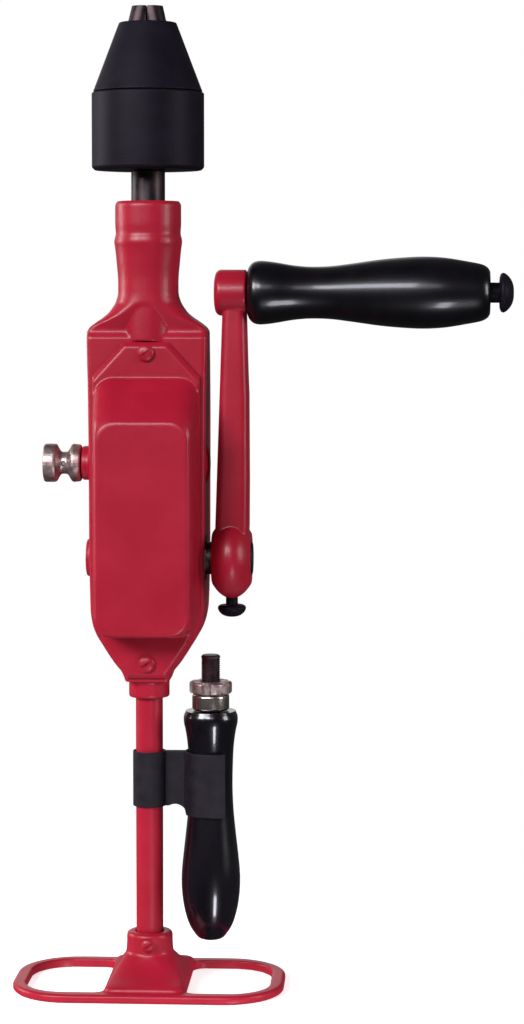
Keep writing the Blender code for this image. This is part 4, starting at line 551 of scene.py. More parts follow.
def rod(name, radius, low_z, high_z, axis="Z", place=(0, 0, 0), steps=ROUND):
    return lathe(name, [(0, high_z), (radius, high_z), (radius, low_z), (0, low_z)], axis, place, steps)


def rounded_rectangle(left, right, bottom, top, corner, steps=10, low_corner=None):
    corner = min(corner, (right - left) / 2, (top - bottom) / 2)
    lower = corner if low_corner is None else min(low_corner, (right - left) / 2)
    centres = ((right - corner, top - corner, corner), (left + corner, top - corner, corner),
               (left + lower, bottom + lower, lower), (right - lower, bottom + lower, lower))
    points = []
    for quarter, (x, y, radius) in enumerate(centres):
        points += arc(x, y, radius, quarter * math.pi / 2, (quarter + 1) * math.pi / 2, steps)
    return points


def combine(obj, operation, *others):
    for other in others:
        modifier = obj.modifiers.new(other.name, "BOOLEAN")
        modifier.operation = operation
        modifier.object = other
        modifier.solver = "EXACT"
    settle(obj)
    for other in others:
        bpy.data.objects.remove(other)
    return obj


def settle(obj):
    """Replaces an object's mesh with the result of its modifiers."""
    bpy.context.view_layer.update()
    evaluated = obj.evaluated_get(bpy.context.evaluated_depsgraph_get())
    mesh = bpy.data.meshes.new_from_object(evaluated)
    obj.modifiers.clear()
    obj.data = mesh
    return obj


def cast(obj, grain, rounds):
    """Gives a casting's soft edges and fillets."""
    remesh = obj.modifiers.new("grain", "REMESH")
    remesh.mode = "VOXEL"
    remesh.voxel_size = grain * MM
    smooth = obj.modifiers.new("smooth", "SMOOTH")
    smooth.factor = 0.5
    smooth.iterations = rounds
    return settle(obj)


def done(obj, node, slot, finish=None, angle=35):
    """Dresses a finished piece, and sets it in the place of its frame node."""
    obj.data.materials.clear()
    obj.data.materials.append(FINISHES[finish or slot])
    obj.data.shade_smooth()
    if angle:
        obj.data.set_sharp_from_angle(angle=math.radians(angle))
    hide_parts(node)
    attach(obj, frame["nodes"][node]["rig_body"])
    return obj


# Breast plate, frame tube and screws


def make_plate():
    edge = rounded_rectangle(-PLATE_HALF_LENGTH, PLATE_HALF_LENGTH, -PLATE_HALF_DEPTH, PLATE_HALF_DEPTH,
                             PLATE_CORNER, 16)
    # Height of each section, and how much its length and depth are narrowed
    sections = ((0, 0.985, 0.975), (0.9, 1, 1), (2.6, 1, 1), (PLATE_TOP, 0.985, 0.975))
    plate = loft("plate_casting", [[(x * s, y * t, z) for x, y in edge] for z, s, t in sections])
    windows = []
    outline = rounded_rectangle(-WINDOW_HALF_DEPTH, WINDOW_HALF_DEPTH, WINDOW_START, WINDOW_END,
                                WINDOW_CORNER, 14, WINDOW_INNER_CORNER)
    for side in (-1, 1):
        windows.append(prism(f"window_{side + 1}", [(side * y, -side * x) for x, y in outline], -OVERRUN,
                             PLATE_TOP + OVERRUN))
    combine(plate, "DIFFERENCE", *windows)
    # Share of the pedestal's rise, half length, half depth, corner
    shares = ((0.0, 16.43, 28.1, 3.0), (0.08, 15.48, 27.0, 3.8), (0.20, 13.75, 19.1, 4.8),
              (0.32, 12.17, 13.5, 6.0), (0.45, 10.59, 10.68, 7.1), (0.58, 9.48, 9.27, 9.2),
              (0.8, 9.2, 9.2, 9.2), (0.915, 9.2, 9.2, 9.2), (0.98, 8.7, 8.7, 8.7), (1.0, 7.6, 7.6, 7.6))
    rows = eased([(share * PEDESTAL_RISE + (PLATE_TOP / 2 if share == 0 else PLATE_TOP), x, y, corner)
                  for share, x, y, corner in shares], 4)
    web = loft("pedestal", [[(x, y, z) for x, y in rounded_rectangle(-half, half, -deep, deep, corner)]
                            for z, half, deep, corner in rows])
    combine(plate, "UNION", web)
    cutters = [rod("socket_bore", TUBE_BORE, 3.0, 24),
               rod("screw_bore", SET_SCREW_BORE, 0, 12, "-Y", (0, 0, 17.9), FINE)]
    combine(plate, "DIFFERENCE", *cutters)
    done(cast(plate, 0.45, 3), "breast_plate", "red_enamel", angle=0)


def slotted(screw, head, top, height):
    """Cuts a driver slot across a screw head that faces -Y."""
    outline = [(-head - 1, -0.4), (head + 1, -0.4), (head + 1, 0.4), (-head - 1, 0.4)]
    slot = prism("slot", outline, top - 0.6, top + 1, "-Y", (0, 0, height))
    slot.matrix_basis = slot.matrix_basis @ Matrix.Rotation(math.radians(SLOT_TURN), 4, "Z")
    return combine(screw, "DIFFERENCE", slot)


def make_screws():
    height = middle("plate_screw")
    top = -low("plate_screw", 1)
    profile = [(0, top), (1.5, top), (SET_SCREW_HEAD, top - 0.6), (SET_SCREW_HEAD, top - 1.2),
               (1.4, top - 1.2), (1.4, 4), (0, 4)]
    screw = lathe("plate_set_screw", softened(profile, 0.4), "-Y", (0, 0, height), FINE)
    done(slotted(screw, SET_SCREW_HEAD, top, height), "plate_screw", "red_enamel")
    for node in ("cover_screw_top", "cover_screw_bottom"):
        height = middle(node)
        top = -low(node, 1)
        end = -high(node, 1)
        seat = top - 1.6
        profile = [(0, top), (1.2, top - 0.05), (2.5, top - 0.4), (COVER_SCREW_HEAD, seat + 0.6),
                   (COVER_SCREW_HEAD, seat), (COVER_SCREW_SHANK, seat), (COVER_SCREW_SHANK, end), (0, end)]
        screw = lathe(node + "_body", softened(profile, 0.4), "-Y", (0, 0, height), FINE)
        done(slotted(screw, COVER_SCREW_HEAD, top, height), node, "red_enamel")


def make_tube():
    top = high("frame_tube")
    bottom = low("frame_tube")
    tube = lathe("tube_body", softened([(5.4, top), (5.4, bottom), (4.0, bottom), (4.0, top)], 0.3))
    pin_z = middle("tube_pin")
    cutters = [rod("pin_bore", PIN_BORE, -8, 8, "-Y", (0, 0, pin_z), FINE),
               rod("screw_bore", SET_SCREW_BORE, 0, 8, "-Y", (0, 0, middle("plate_screw")), FINE)]
    done(combine(tube, "DIFFERENCE", *cutters), "frame_tube", "red_enamel")
    front, back = -low("tube_pin", 1), -high("tube_pin", 1)
    profile = softened([(0, front), (1.5, front), (1.5, back), (0, back)], 0.3)
    pin = lathe("tube_pin_body", profile, "-Y", (0, 0, pin_z), FINE)
    done(pin, "tube_pin", "red_enamel")


# Gear case and cover


# Height from the crank axis, half width, depth behind the axis, rear corner
CASE_ROWS = (
    (-48.6, 8.66, 10.8, 5.5), (-44.96, 10.05, 12.6, 6.5), (-41.55, 12.75, 15.0, 7.4),
    (-38.15, 15.12, 17.7, 7.9), (-34.26, 17.58, 20.5, 8.3), (-29.4, 20.44, 23.8, 8.8),
    (-25.27, 21.83, 26.0, 8.8), (-20.41, 22.52, 28.1, 8.8), (-12.15, 22.75, 29.6, 8.8),
    (0.0, 22.98, 30.1, 8.8), (37.8, 23.1, 30.1, 8.8), (54.4, 23.22, 29.0, 8.8),
    (69.04, 23.38, 25.6, 8.3), (79.7, 23.6, 20.8, 7.9), (87.83, 23.75, 16.4, 7.0),
)
# Height, half width and depth behind the axis, where the front goes from flat to round
SHOULDER_ROWS = ((91.57, 22.87, 15.65), (93.54, 20.6, 15.05), (95.6, 17.7, 14.3), (97.7, 15.4, 13.7),
                 (99.66, 14.1, 13.1), (101.7, 13.0, 12.64))
# Height and radius of the round neck and its collar
NECK_ROWS = ((105.8, NECK_RADIUS), (109.7, NECK_RADIUS), (117.7, 12.6), (123.5, 13.2), (125.5, 13.5),
             (127.2, 13.26), (128.7, 12.84), (132.6, 13.1), (140.0, 13.1), (141.6, 12.24))


def case_rings():
    rows = [(z, half, CASE_FRONT, back, corner, CASE_FRONT_CORNER) for z, half, back, corner in CASE_ROWS]
    top = rows[-1]
    upper = [(top[0] + CASE_STEP_HEIGHT, top[1], CASE_STEP_FRONT, *top[3:])]
    first, last = SHOULDER_ROWS[0][0], SHOULDER_ROWS[-1][0]
    for z, half, back in SHOULDER_ROWS:
        blend = (z - first) / (last - first)
        front = CASE_STEP_FRONT + (NECK_RADIUS - CASE_STEP_FRONT) * blend
        rear_corner = top[4] + (NECK_RADIUS - top[4]) * blend
        front_corner = CASE_FRONT_CORNER + (NECK_RADIUS - CASE_FRONT_CORNER) * blend
        upper.append((z, half, front, back, rear_corner, min(front_corner, front, half)))
    upper += [(z, radius, radius, radius, radius, radius) for z, radius in NECK_ROWS]
    rings = []
    for z, half, front, back, corner, front_corner in eased(rows, 5) + eased(upper, 5):
        outline = rounded_rectangle(-half, half, -front, back, corner, 10, front_corner)
        rings.append([(x, y, CRANK_Z + z) for x, y in outline])
    return rings


def make_case():
    case = loft("case_casting", case_rings())
    base = low("gear_case")
    socket_top = base + 11.75
    socket = [(0, socket_top), (8.1, socket_top), (8.1, base), (0, base)]
    knob_boss = [(0, -BOSS_ROOT), (6.8, -BOSS_ROOT), (6.8, -26.5), (0, -26.5)]
    dome = [(0, BOSS_END), (4.5, 24.4), (BOSS_RADIUS, 23.5), (BOSS_RADIUS, BOSS_ROOT), (0, BOSS_ROOT)]
    end_boss = [(0, -BOSS_ROOT), (BOSS_RADIUS, -BOSS_ROOT), (BOSS_RADIUS, -BOSS_END), (0, -BOSS_END)]
    crank, counter = (0, 0, CRANK_Z), (0, 0, COUNTER_Z)
    shapes = [
        lathe("tube_socket", softened(socket, 0.8)),
        rod("neck_root", 11.7, COUNTER_Z + 48.7, COUNTER_Z + 64),
        lathe("knob_boss", softened(knob_boss, 0.8), "X", counter),
        lathe("counter_dome", softened(dome, 0.6), "X", counter),
        lathe("crank_end_boss", softened(end_boss, 0.8), "X", crank),
    ]
    combine(case, "UNION", *shapes)
    quarter = math.pi / 2
    outline = arc(0, 0, GEAR_ROOM, -quarter, quarter, 24)
    outline += arc(CRANK_Z - COUNTER_Z, 0, GEAR_ROOM, quarter, 3 * quarter, 24)
    cutters = [
        prism("gear_room", outline, -GEAR_ROOM_HALF, GEAR_ROOM_HALF, "X", crank),
        rod("crank_bore", CRANK_BUSH_BORE, -BUSH_END, 26, "X", crank),
        rod("counter_bore", COUNTER_BUSH_BORE, -BUSH_END, BUSH_END, "X", counter),
        rod("rod_bore", ROD_BORE, -30, 0, "X", counter),
        rod("spindle_bore_low", SPINDLE_BUSH_BORE, COUNTER_Z + 18, COUNTER_Z + 41.5),
        rod("spindle_passage", SPINDLE_PASSAGE, COUNTER_Z + 20, NECK_TOP + OVERRUN),
        rod("spindle_bore_top", SPINDLE_BUSH_BORE, NECK_TOP - 15, NECK_TOP + OVERRUN),
        rod("tube_bore", TUBE_BORE, base - OVERRUN, base + 7.8),
        rod("pin_bore", PIN_BORE, -12, 6.9, "-Y", (0, 0, middle("tube_pin")), FINE),
        rod("top_screw_bore", COVER_SCREW_BORE, 7.7, 14, "-Y", (0, 0, middle("cover_screw_top")), FINE),
        rod("bottom_screw_bore", COVER_SCREW_BORE, 7.7, 14, "-Y", (0, 0, middle("cover_screw_bottom")), FINE),
    ]
    combine(case, "DIFFERENCE", *cutters)
    done(cast(case, 0.5, 3), "gear_case", "red_enamel", angle=0)


# Shares of the bulge's depth, of how far its sides come in, and of how far its top has fallen
BULGE_ROWS = ((0.0, 0.0, 0.0), (0.12, 0.04, 0.05), (0.45, 0.14, 0.39), (0.80, 0.30, 0.76),
              (0.93, 0.52, 0.915), (0.985, 0.80, 0.985), (1.0, 1.0, 1.04))


def bulge(name, inset, start):
    rings = []
    for reach, narrow, fall in BULGE_ROWS:
        half = BULGE_HALF - narrow * BULGE_SIDE_TAPER - inset
        top = COUNTER_Z + BULGE_TOP - fall * BULGE_TOP_FALL - inset
        bottom = CRANK_Z - BULGE_BOTTOM + narrow * BULGE_BOTTOM_RISE + inset
        forward = FLANGE_BACK + reach * BULGE_DEPTH - inset if reach else start
        outline = rounded_rectangle(-half, half, bottom, top, BULGE_CORNER - inset / 2, 10)
        rings.append([(x, -forward, z) for x, z in outline])
    return loft(name, rings)


def make_cover():
    top, high_z = COUNTER_Z + 48.4, COUNTER_Z + 34.9
    low_z, bottom = CRANK_Z - 25.0, CRANK_Z - 47.0
    bend_z = bottom + (low_z - bottom) * 0.6
    right = [(8.0, bottom), (17.04, bend_z), (FLANGE_HALF, low_z), (FLANGE_HALF, high_z), (8.8, top)]
    outline = right + [(-x, z) for x, z in reversed(right)]
    rings = []
    for forward, inset in ((FLANGE_BACK, 0.0), (10.9, 0.0), (12.3, 1.5), (12.6, 2.1)):
        ring = []
        for spot, point in enumerate(outline):
            here = Vector(point)
            back = (here - Vector(outline[spot - 1])).normalized()
            ahead = (Vector(outline[(spot + 1) % len(outline)]) - here).normalized()
            # The upright sides are bevelled least, as the bulge is nearly as wide as the flange
            pull = [inset * (0.3 if abs(line.x) < 0.01 else 1) for line in (back, ahead)]
            shift = (pull[0] * ahead - pull[1] * back) / back.cross(ahead)
            ring.append((here.x + shift.x, -forward, here.y + shift.y))
        rings.append(ring)
    cover = loft("cover_casting", rings)
    combine(cover, "UNION", bulge("bulge_outside", 0, 11.45))
    cutters = [bulge("bulge_inside", BULGE_WALL, CASE_FRONT)]
    for node in ("cover_screw_top", "cover_screw_bottom"):
        cutters.append(rod(node + "_bore", COVER_SCREW_BORE, 9, 14, "-Y", (0, 0, middle(node)), FINE))
    combine(cover, "DIFFERENCE", *cutters)
    done(cast(cover, 0.4, 3), "front_cover", "red_enamel", angle=0)


# Crank


# Share of the height from the crank axis to the grip, and how far the arm swells in width there
ARM_ROWS = ((-0.043, 0.0), (0.12, 0.8), (0.30, 1.0), (0.45, 1.0), (0.62, 1.0), (0.70, 0.7), (1.013, 0.0))
# Shares of the boss's half length and of its radius
BOSS_ROWS = ((1.0, 0.60), (0.99, 0.64), (0.72, 0.82), (0.38, 0.95), (0.0, 1.0), (-0.38, 0.95),
             (-0.72, 0.82), (-0.99, 0.64), (-1.0, 0.60))


def make_crank():
    centre = middle("crank_arm", 0)
    crank, grip = (0, 0, CRANK_Z), (0, 0, GRIP_Z)
    rows = []
    for share, swell in ARM_ROWS:
        width = ARM_WIDTH_LOW + share * (ARM_WIDTH_HIGH - ARM_WIDTH_LOW) + swell
        depth = (ARM_DEPTH_LOW + share * (ARM_DEPTH_HIGH - ARM_DEPTH_LOW)) / 2
        start = ARM_START_LOW + share * (ARM_START_HIGH - ARM_START_LOW)
        outline = rounded_rectangle(start, start + width, -depth, depth, 3.0, 6)
        rows.append([(x, y, CRANK_Z + share * ARM_RISE) for x, y in outline])
    arm = loft("arm_casting", rows)
    half = ARM_BOSS_HALF
    outside = splined([(radius * ARM_BOSS_RADIUS, along * half) for along, radius in BOSS_ROWS], 4)
    boss = lathe("arm_boss", [(0, half), *outside, (0, -half)], "X", (centre, 0, CRANK_Z))
    half = ARM_TOP_HALF
    top_profile = [(0, half), (ARM_TOP_RADIUS, half), (ARM_TOP_RADIUS, -4.6), (7.83, -5.95),
                   (5.46, -half), (0, -half)]
    top_boss = lathe("arm_top_boss", softened(top_profile, 0.8), "X", (ARM_TOP_MIDDLE, 0, GRIP_Z))
    combine(arm, "UNION", boss, top_boss)
    cutters = [rod("shaft_bore", SHAFT_BORE, 22, 45, "X", crank),
               rod("axle_bore", AXLE_BORE, 29.2, 42, "X", grip),
               rod("screw_bore", 2.7, CRANK_Z - 18, CRANK_Z, "Z", (centre, 0, 0), FINE)]
    combine(arm, "DIFFERENCE", *cutters)
    done(cast(arm, 0.35, 3), "crank_arm", "red_enamel", angle=0)
    start, end = low("crank_shaft", 0), high("crank_shaft", 0)
    profile = [(0, end), (SHAFT_RADIUS, end), (SHAFT_RADIUS, start), (0, start)]
    shaft = lathe("shaft_body", softened(profile, 0.8), "X", crank)
    keyway = prism("keyway", [(-9, -1.7), (-4.8, -1.7), (-4.8, 1.7), (-9, 1.7)], 4.9, 17.3, "X", crank)
    keyway.matrix_basis = keyway.matrix_basis @ Matrix.Rotation(math.pi, 4, "Z")
    done(combine(shaft, "DIFFERENCE", keyway), "crank_shaft", "dark_steel")
    tip, end = high("crank_clamp_screw"), low("crank_clamp_screw")
    head = end + 5.0
    dome = splined([(4.59, head - 0.2), (5.43, head - 0.8), (5.6, head - 1.7), (5.04, head - 3.0),
                    (3.7, head - 4.2), (1.9, head - 4.85), (0, end)], 4)
    profile = softened([(0, tip), (2.4, tip), (2.4, head), *dome], 0.25)
    screw = lathe("clamp_screw_body", profile, "Z", (centre, 0, 0), FINE)
    done(screw, "crank_clamp_screw", "black_steel")


# Shares of the grip's length and of its radius
GRIP_ROWS = ((0.0, 0.62), (0.008, 0.74), (0.023, 0.84), (0.045, 0.885), (0.075, 0.880), (0.12, 0.840),
             (0.19, 0.760), (0.26, 0.722), (0.34, 0.736), (0.42, 0.800), (0.55, 0.922), (0.66, 0.985),
             (0.74, 1.000), (0.82, 0.965), (0.91, 0.866), (0.965, 0.790), (0.99, 0.700), (1.0, 0.600))


def make_grip():
    start, end = low("crank_grip", 0), high("crank_grip", 0)
    spots = [(radius * GRIP_RADIUS, start + along * (end - start)) for along, radius in reversed(GRIP_ROWS)]
    profile = [*splined(spots, 4), (AXLE_BORE, start), (AXLE_BORE, end)]
    done(lathe("grip_wood", profile, "X", (0, 0, GRIP_Z)), "crank_grip", "black_lacquer")
    left, right = low("grip_axle", 0), high("grip_axle", 0)
    neck = right - 5.6
    dome = splined([(0, right), (2.65, right - 0.17), (5.0, right - 1.0), (6.86, right - 2.46),
                    (7.8, right - 3.92), (7.49, right - 5.04), (6.24, neck)], 5)
    profile = [*dome, (4.0, neck), (4.0, left), (0, left)]
    done(lathe("axle_body", profile, "X", (0, 0, GRIP_Z)), "grip_axle", "black_steel")


# Speed knob


def make_knob():
    right, left = high("selector_knob", 0), low("selector_knob", 0)
    neck_right = right - 4.6
    neck_left = neck_right - 4.5
    counter = (0, 0, COUNTER_Z)
    profile = [(0, right), (KNOB_RIM, right), (KNOB_RADIUS, neck_right + 1.6), (KNOB_RIM, neck_right + 0.8),
               (KNOB_WAIST, neck_right - 0.9), (KNOB_WAIST, neck_left + 0.9), (7.4, neck_left - 0.8),
               (KNOB_RADIUS, neck_left - 1.6), (KNOB_RADIUS, left), (0, left)]
    knob = lathe("knob_body", softened(profile, 0.9, 6), "X", counter)
    pin_x = (neck_left + neck_right) / 2
    cutters = [rod("rod_bore", ROD_BORE, neck_left - 3.2, right + OVERRUN, "X", counter, FINE),
               rod("pin_bore", 1.0, -7, 7, "-Y", (pin_x, 0, COUNTER_Z), FINE)]
    done(combine(knob, "DIFFERENCE", *cutters), "selector_knob", "nickel", "worn_nickel")


# Spindle and chuck


def jaw_line(obj, turn):
    lean = Matrix.Rotation(-JAW_LEAN, 4, "Y")
    tip = Matrix.Translation((JAW_TIP_OFFSET * MM, 0, high("chuck_jaw_1") * MM))
    obj.matrix_basis = Matrix.Rotation(turn, 4, "Z") @ tip @ lean
    return obj


def make_chuck():
    base = low("chuck_body")
    nose = high("chuck_body")
    sleeve_top = base + 30.5
    profile = [(6.4, base), (6.4, base + 16), (0, base + 16)]
    groove = base + 38.7
    tip_z = high("chuck_jaw_1")

    def offset(height):
        return JAW_TIP_OFFSET + (tip_z - height) * math.tan(JAW_LEAN)

    skin = JAW_BORE / math.cos(JAW_LEAN) + 1.2
    outer = [(6.6, nose), (offset(nose) + skin, nose), (offset(groove) + skin, groove), (10.5, groove),
             (10.5, sleeve_top), (CHUCK_RADIUS, sleeve_top), (CHUCK_RADIUS, sleeve_top - 4.4),
             (19.0, sleeve_top - 5.7), (19.0, base + 5.7), (CHUCK_RADIUS, base + 4.4),
             (CHUCK_RADIUS, base + 0.6), (19.7, base)]
    body = lathe("chuck_core", [(0, base + 21.5), (6.6, base + 21.5), *outer, *profile])
    cutters = []
    for number in range(3):
        turn = math.radians(90 + 120 * number)
        cutters.append(jaw_line(rod(f"jaw_bore_{number}", JAW_BORE, -52.6, OVERRUN, steps=FINE), turn))
    done(combine(body, "DIFFERENCE", *cutters), "chuck_body", "black_steel")
    profile = [(SLEEVE_RADIUS - 0.3, sleeve_top), (SLEEVE_RADIUS, sleeve_top - 0.5),
               (SLEEVE_RADIUS, base + 1.1), (SLEEVE_RADIUS - 1.1, base), (SLEEVE_INSIDE, base),
               (SLEEVE_INSIDE, sleeve_top)]
    done(lathe("rear_sleeve", softened(profile, 0.5, 6)), "chuck_rear_sleeve", "black_steel")
    front_low = low("chuck_front_sleeve")
    nut_low, room_top = base + 32.8, base + 39.0
    skin += 0.45
    profile = [(11.3, nose), (FRONT_SLEEVE_RADIUS - 0.6, front_low + 1.4), (FRONT_SLEEVE_RADIUS, front_low),
               (offset(nut_low) + NUT_ROOM, front_low), (offset(nut_low) + NUT_ROOM, nut_low),
               (offset(room_top) + NUT_ROOM, room_top),
               (offset(room_top) + skin, room_top), (offset(nose) + skin, nose)]
    done(lathe("front_sleeve", softened(profile, 0.9, 6)), "chuck_front_sleeve", "black_steel")
    top = high("spindle")
    bottom = low("spindle")
    shoulder = COUNTER_Z + 20 + 10.5 + CLEARANCE
    seat = base - CLEARANCE
    profile = [(0, top), (SPINDLE_TIP_RADIUS, top), (SPINDLE_TIP_RADIUS, seat), (SPINDLE_RADIUS, seat),
               (SPINDLE_RADIUS, shoulder), (SPINDLE_LOW_RADIUS, shoulder), (SPINDLE_LOW_RADIUS, bottom),
               (0, bottom)]
    shaft = lathe("spindle_shaft", softened(profile, 0.4))
    pin = rod("pin_bore", 1.3, -12, 12, "X", (0, 0, middle("pinion_pin")), FINE)
    done(combine(shaft, "DIFFERENCE", pin), "spindle", "black_steel", "dark_steel")


def make_jaws():
    for number in range(3):
        node = f"chuck_jaw_{number + 1}"
        turn = math.radians(90 + 120 * number)
        jaw = jaw_line(rod(f"jaw_{number + 1}_body", JAW_RADIUS, -30, 6.3, steps=FINE), turn)
        near, far = [(reach, reach * math.sqrt(3) - JAW_GAP) for reach in (0.45, 22)]
        outline = [(near[0], -near[1]), (far[0], -far[1]), far, near]
        tip = high(node)
        wedge = prism("wedge", outline, tip - 64, tip)
        wedge.matrix_basis = Matrix.Rotation(turn, 4, "Z")
        combine(jaw, "INTERSECT", wedge)
        done(jaw, node, "dark_steel")


# Side handle


# Shares of the handle's length and of its radius
HANDLE_ROWS = ((1.0, 0.840), (0.975, 0.912), (0.945, 0.905), (0.92, 0.860), (0.87, 0.800), (0.81, 0.762),
               (0.68, 0.738), (0.57, 0.770), (0.47, 0.845), (0.38, 0.925), (0.30, 0.985), (0.23, 0.990),
               (0.16, 0.935), (0.10, 0.830), (0.06, 0.715), (0.03, 0.570), (0.008, 0.420), (0.0, 0.250))


def make_side_handle():
    place = (HANDLE_X, 0, 0)
    bottom, top = low("side_handle"), high("side_handle")
    spots = [(radius * HANDLE_RADIUS, bottom + along * (top - bottom)) for along, radius in HANDLE_ROWS]
    hole_low = low("handle_stud") - CLEARANCE
    profile = [(0, hole_low), (STUD_BORE, hole_low), (STUD_BORE, top), *splined(spots, 4), (0, bottom)]
    done(lathe("handle_wood", profile, "Z", place), "side_handle", "black_lacquer", "black_lacquer_upright")
    stud_low, stud_top = low("handle_stud"), high("handle_stud")
    rows = []
    z = stud_top - 1.2
    while z > stud_top - 11:
        rows += [(STUD_RADIUS, z), (THREAD_ROOT, z - THREAD_PITCH / 2)]
        z -= THREAD_PITCH
    profile = [(0, stud_top), (3.2, stud_top), (STUD_RADIUS, stud_top - 0.6), *rows, (STUD_RADIUS, z),
               (STUD_RADIUS, stud_low), (0, stud_low)]
    done(lathe("stud_body", profile, "Z", place, FINE), "handle_stud", "dark_steel", "stud_steel")
    low_z, high_z = low("handle_ferrule"), high("handle_ferrule")
    profile = [(6.8, high_z), (7.4, high_z - 0.6), (7.4, low_z + 0.6), (6.8, low_z), (STUD_BORE, low_z),
               (STUD_BORE, high_z)]
    done(lathe("ferrule_body", softened(profile, 0.5), "Z", place), "handle_ferrule", "nickel")
    low_z, high_z = low("lock_ring"), high("lock_ring")
    profile = [(7.9, high_z), (RING_RADIUS, high_z - 0.6), (RING_RADIUS, low_z + 0.6), (7.9, low_z),
               (STUD_BORE, low_z), (STUD_BORE, high_z)]
    ring = lathe("ring_body", softened(profile, 0.4), "Z", place)
    cutters = []
    for number in range(6):
        angle = (number + 0.36) * math.tau / 6
        spot = (HANDLE_X + RING_RADIUS * math.cos(angle), RING_RADIUS * math.sin(angle), 0)
        cutters.append(rod(f"scallop_{number}", 2.0, low_z - OVERRUN, high_z + OVERRUN, "Z", spot, FINE))
    done(combine(ring, "DIFFERENCE", *cutters), "lock_ring", "nickel", "worn_nickel")


def make_clip():
    low_z, high_z = low("handle_clip"), high("handle_clip")
    arm, inside, reach = CLIP_ARM_RADIUS, CLIP_ARM_RADIUS - CLIP_SHEET, HANDLE_X + CLIP_REACH
    turn = math.asin(1.4 / CLIP_RADIUS)
    edge = arc(0, 0, CLIP_RADIUS, turn, math.tau - turn, 60)
    arm_turn = math.asin(1.4 / arm)
    quarter = math.pi / 2
    edge += arc(HANDLE_X, 0, arm, math.pi + arm_turn, 3 * quarter, 24)
    edge += [(reach, -arm), (reach, -inside)]
    edge += arc(HANDLE_X, 0, inside, 3 * quarter, quarter, 48)
    edge += [(reach, inside), (reach, arm)]
    edge += arc(HANDLE_X, 0, arm, quarter, math.pi - arm_turn, 24)
    clip = prism("clip_strip", edge, low_z, high_z)
    arch = (CLIP_ARCH_HALF**2 + CLIP_ARCH_RISE**2) / (2 * CLIP_ARCH_RISE)
    arch_x = (CLIP_RADIUS + HANDLE_X - arm) / 2
    step = [(-9, -9), (arch_x, -9), (arch_x, 9), (-9, 9)]
    cutters = [rod("tube_room", TUBE_BORE, low_z - OVERRUN, high_z + OVERRUN),
               prism("ring_step", step, low_z - OVERRUN, low_z + CLIP_STEP),
               rod("arch", arch, -14, 14, "-Y", (arch_x, 0, low_z + CLIP_ARCH_RISE - arch))]
    combine(clip, "DIFFERENCE", *cutters)
    done(cast(clip, 0.25, 2), "handle_clip", "black_sheet", angle=0)


# Pieces kept from the frame


def dress_inner_pieces():
    slots = {part["node"]: part["material_slot"] for part in frame["record"]["subparts"]}
    for name, node in frame["nodes"].items():
        if node.hide_render:
            continue
        node.data.materials.clear()
        node.data.materials.append(FINISHES[slots[name]])
        node.data.shade_smooth()
        node.data.set_sharp_from_angle(angle=math.radians(30))


# Floor, light and camera


LIGHTS = (
    # azimuth and height above the horizon in degrees, distance, width, height, power
    ("key_light", -42, 25, 1.5, 0.6, 0.5, 20),
    ("front_light", 0, 24, 1.7, 0.8, 0.4, 3),
    ("side_light", 72, 12, 1.5, 0.5, 0.7, 10),
    ("rim_light", -105, 12, 1.5, 0.6, 0.7, 10),
    ("front_card", -14, 27, 1.4, 0.6, 0.32, 11),
    ("low_card", 21, -37, 1.15, 0.18, 0.36, 4),
)
LIGHT_TARGET = Vector((0.03, 0, 0.2))
# Where the floor's edges are, and from where to where it fades into the background
FLOOR_SIDE, FLOOR_BACK = 700, 900
FLOOR_FADE = (0.09, 0.3)

CAMERA_TARGET = Vector((0.0451, 0, 0.22))
CAMERA_DISTANCE = 1.05
CAMERA_RISE = 0.06
CAMERA_TURN = math.radians(3)
CAMERA_VIEW = math.radians(21.866)
SENSOR_WIDTH = 36


def make_stage():
    vertices = [(-FLOOR_SIDE, -FLOOR_SIDE, 0), (FLOOR_SIDE, -FLOOR_SIDE, 0), (FLOOR_SIDE, FLOOR_BACK, 0),
                (-FLOOR_SIDE, FLOOR_BACK, 0)]
    floor = mesh_object("floor", vertices, [(0, 1, 2, 3)])
    finish = Finish("floor", Base_Color=(0.9, 0.9, 0.9, 1), Roughness=0.6, Specular_IOR_Level=0.2,
                    Emission_Color=(1, 1, 1, 1), Emission_Strength=0.62)
    here = finish.node("TexCoord", output="Object")
    away = finish.node("VectorMath", {"operation": "LENGTH"}, output="Value", Vector=here)
    finish.set(Alpha=1 - away.between(*FLOOR_FADE))
    floor.data.materials.append(finish.material)
    floor.visible_glossy = False
    floor.visible_shadow = False
    make_world()
    for name, azimuth, elevation, far, wide, tall, power in LIGHTS:
        around, up = math.radians(azimuth), math.radians(elevation)
        flat = math.cos(up)
        toward = Vector((math.sin(around) * flat, -math.cos(around) * flat, math.sin(up)))
        data = bpy.data.lights.new(name, "AREA")
        data.shape = "RECTANGLE"
        data.size = wide
        data.size_y = tall
        data.energy = power
        lamp = bpy.data.objects.new(name, data)
        lamp.location = LIGHT_TARGET + far * toward
        lamp.rotation_mode = "QUATERNION"
        lamp.rotation_quaternion = (-toward).to_track_quat("-Z", "Y")
        if name.endswith("card"):
            # A card gives cool reflections alone
            data.color = (0.9, 0.9, 1)
            lamp.visible_diffuse = False
        bpy.context.scene.collection.objects.link(lamp)


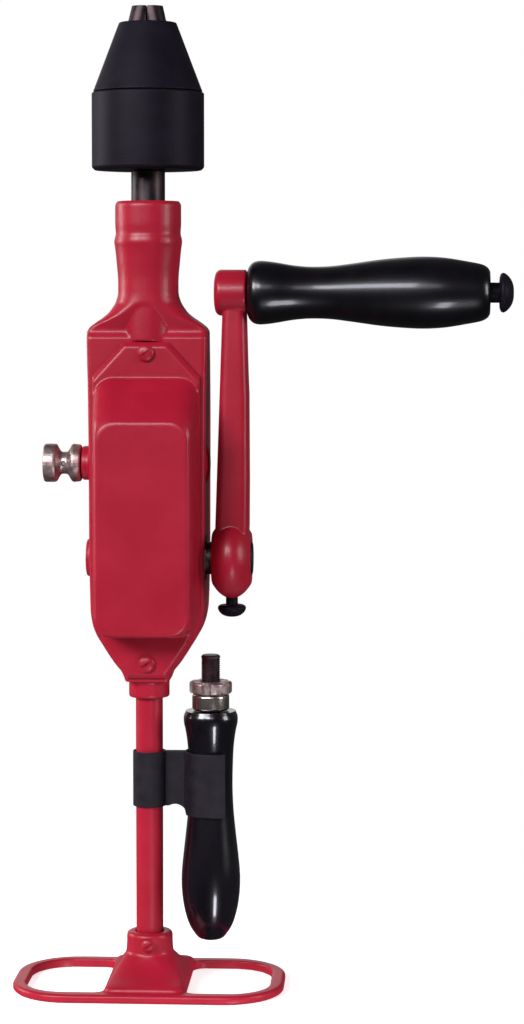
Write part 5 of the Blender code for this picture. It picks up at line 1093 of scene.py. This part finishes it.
def make_world():
    """White to the camera and in reflections from behind on the left, and dim elsewhere."""
    world = bpy.data.worlds.new("studio")
    bpy.context.scene.world = world
    world.use_nodes = True
    tree = world.node_tree
    seen = tree.nodes["Background"]
    seen.inputs["Color"].default_value = (1, 1, 1, 1)
    seen.inputs["Strength"].default_value = 1
    here = tree.nodes.new("ShaderNodeTexCoord")
    parts = tree.nodes.new("ShaderNodeSeparateXYZ")
    tree.links.new(here.outputs["Generated"], parts.inputs[0])
    across, along, above = (Wire(tree, output) for output in parts.outputs)
    path = tree.nodes.new("ShaderNodeLightPath")
    camera, glossy, clear = (Wire(tree, path.outputs[name])
                             for name in ("Is Camera Ray", "Is Glossy Ray", "Is Transmission Ray"))
    light = tree.nodes.new("ShaderNodeBackground")
    light.inputs["Color"].default_value = (0.96, 0.97, 1, 1)
    right_shown = 1 - 0.85 * glossy * across.between(-0.1, 0.1)
    top_shown = 1 - 0.7 * glossy * above.between(0.25, 0.55)
    shown = right_shown * top_shown
    strength = 0.04 + 0.4 * along.between(-0.1, 0.8) * above.between(-0.2, 0.2) * shown
    tree.links.new(strength.socket, light.inputs["Strength"])
    behind = across.between(0.1, -0.1) * along.between(0.7, 0.95) * above.between(0, 0.15)
    white = camera.math("MAXIMUM", clear).math("MAXIMUM", glossy * behind)
    choose = tree.nodes.new("ShaderNodeMixShader")
    tree.links.new(white.socket, choose.inputs[0])
    tree.links.new(light.outputs[0], choose.inputs[1])
    tree.links.new(seen.outputs[0], choose.inputs[2])
    tree.links.new(choose.outputs[0], tree.nodes["World Output"].inputs[0])


def make_camera():
    data = bpy.data.cameras.new("camera")
    camera = bpy.data.objects.new("camera", data)
    bpy.context.scene.collection.objects.link(camera)
    aside, front = CAMERA_DISTANCE * math.sin(CAMERA_TURN), CAMERA_DISTANCE * math.cos(CAMERA_TURN)
    camera.location = CAMERA_TARGET + Vector((aside, -front, CAMERA_RISE))
    camera.rotation_mode = "QUATERNION"
    camera.rotation_quaternion = (CAMERA_TARGET - camera.location).to_track_quat("-Z", "Y")
    data.sensor_width = SENSOR_WIDTH
    data.lens = SENSOR_WIDTH / 2 / math.tan(CAMERA_VIEW / 2)
    data.shift_y = -0.0715
    bpy.context.scene.camera = camera


make_plate()
make_screws()
make_tube()
make_case()
make_cover()
make_crank()
make_grip()
make_knob()
make_chuck()
make_jaws()
make_side_handle()
make_clip()
dress_inner_pieces()
make_stage()
make_camera()

bpy.context.scene.view_settings.view_transform = "Standard"
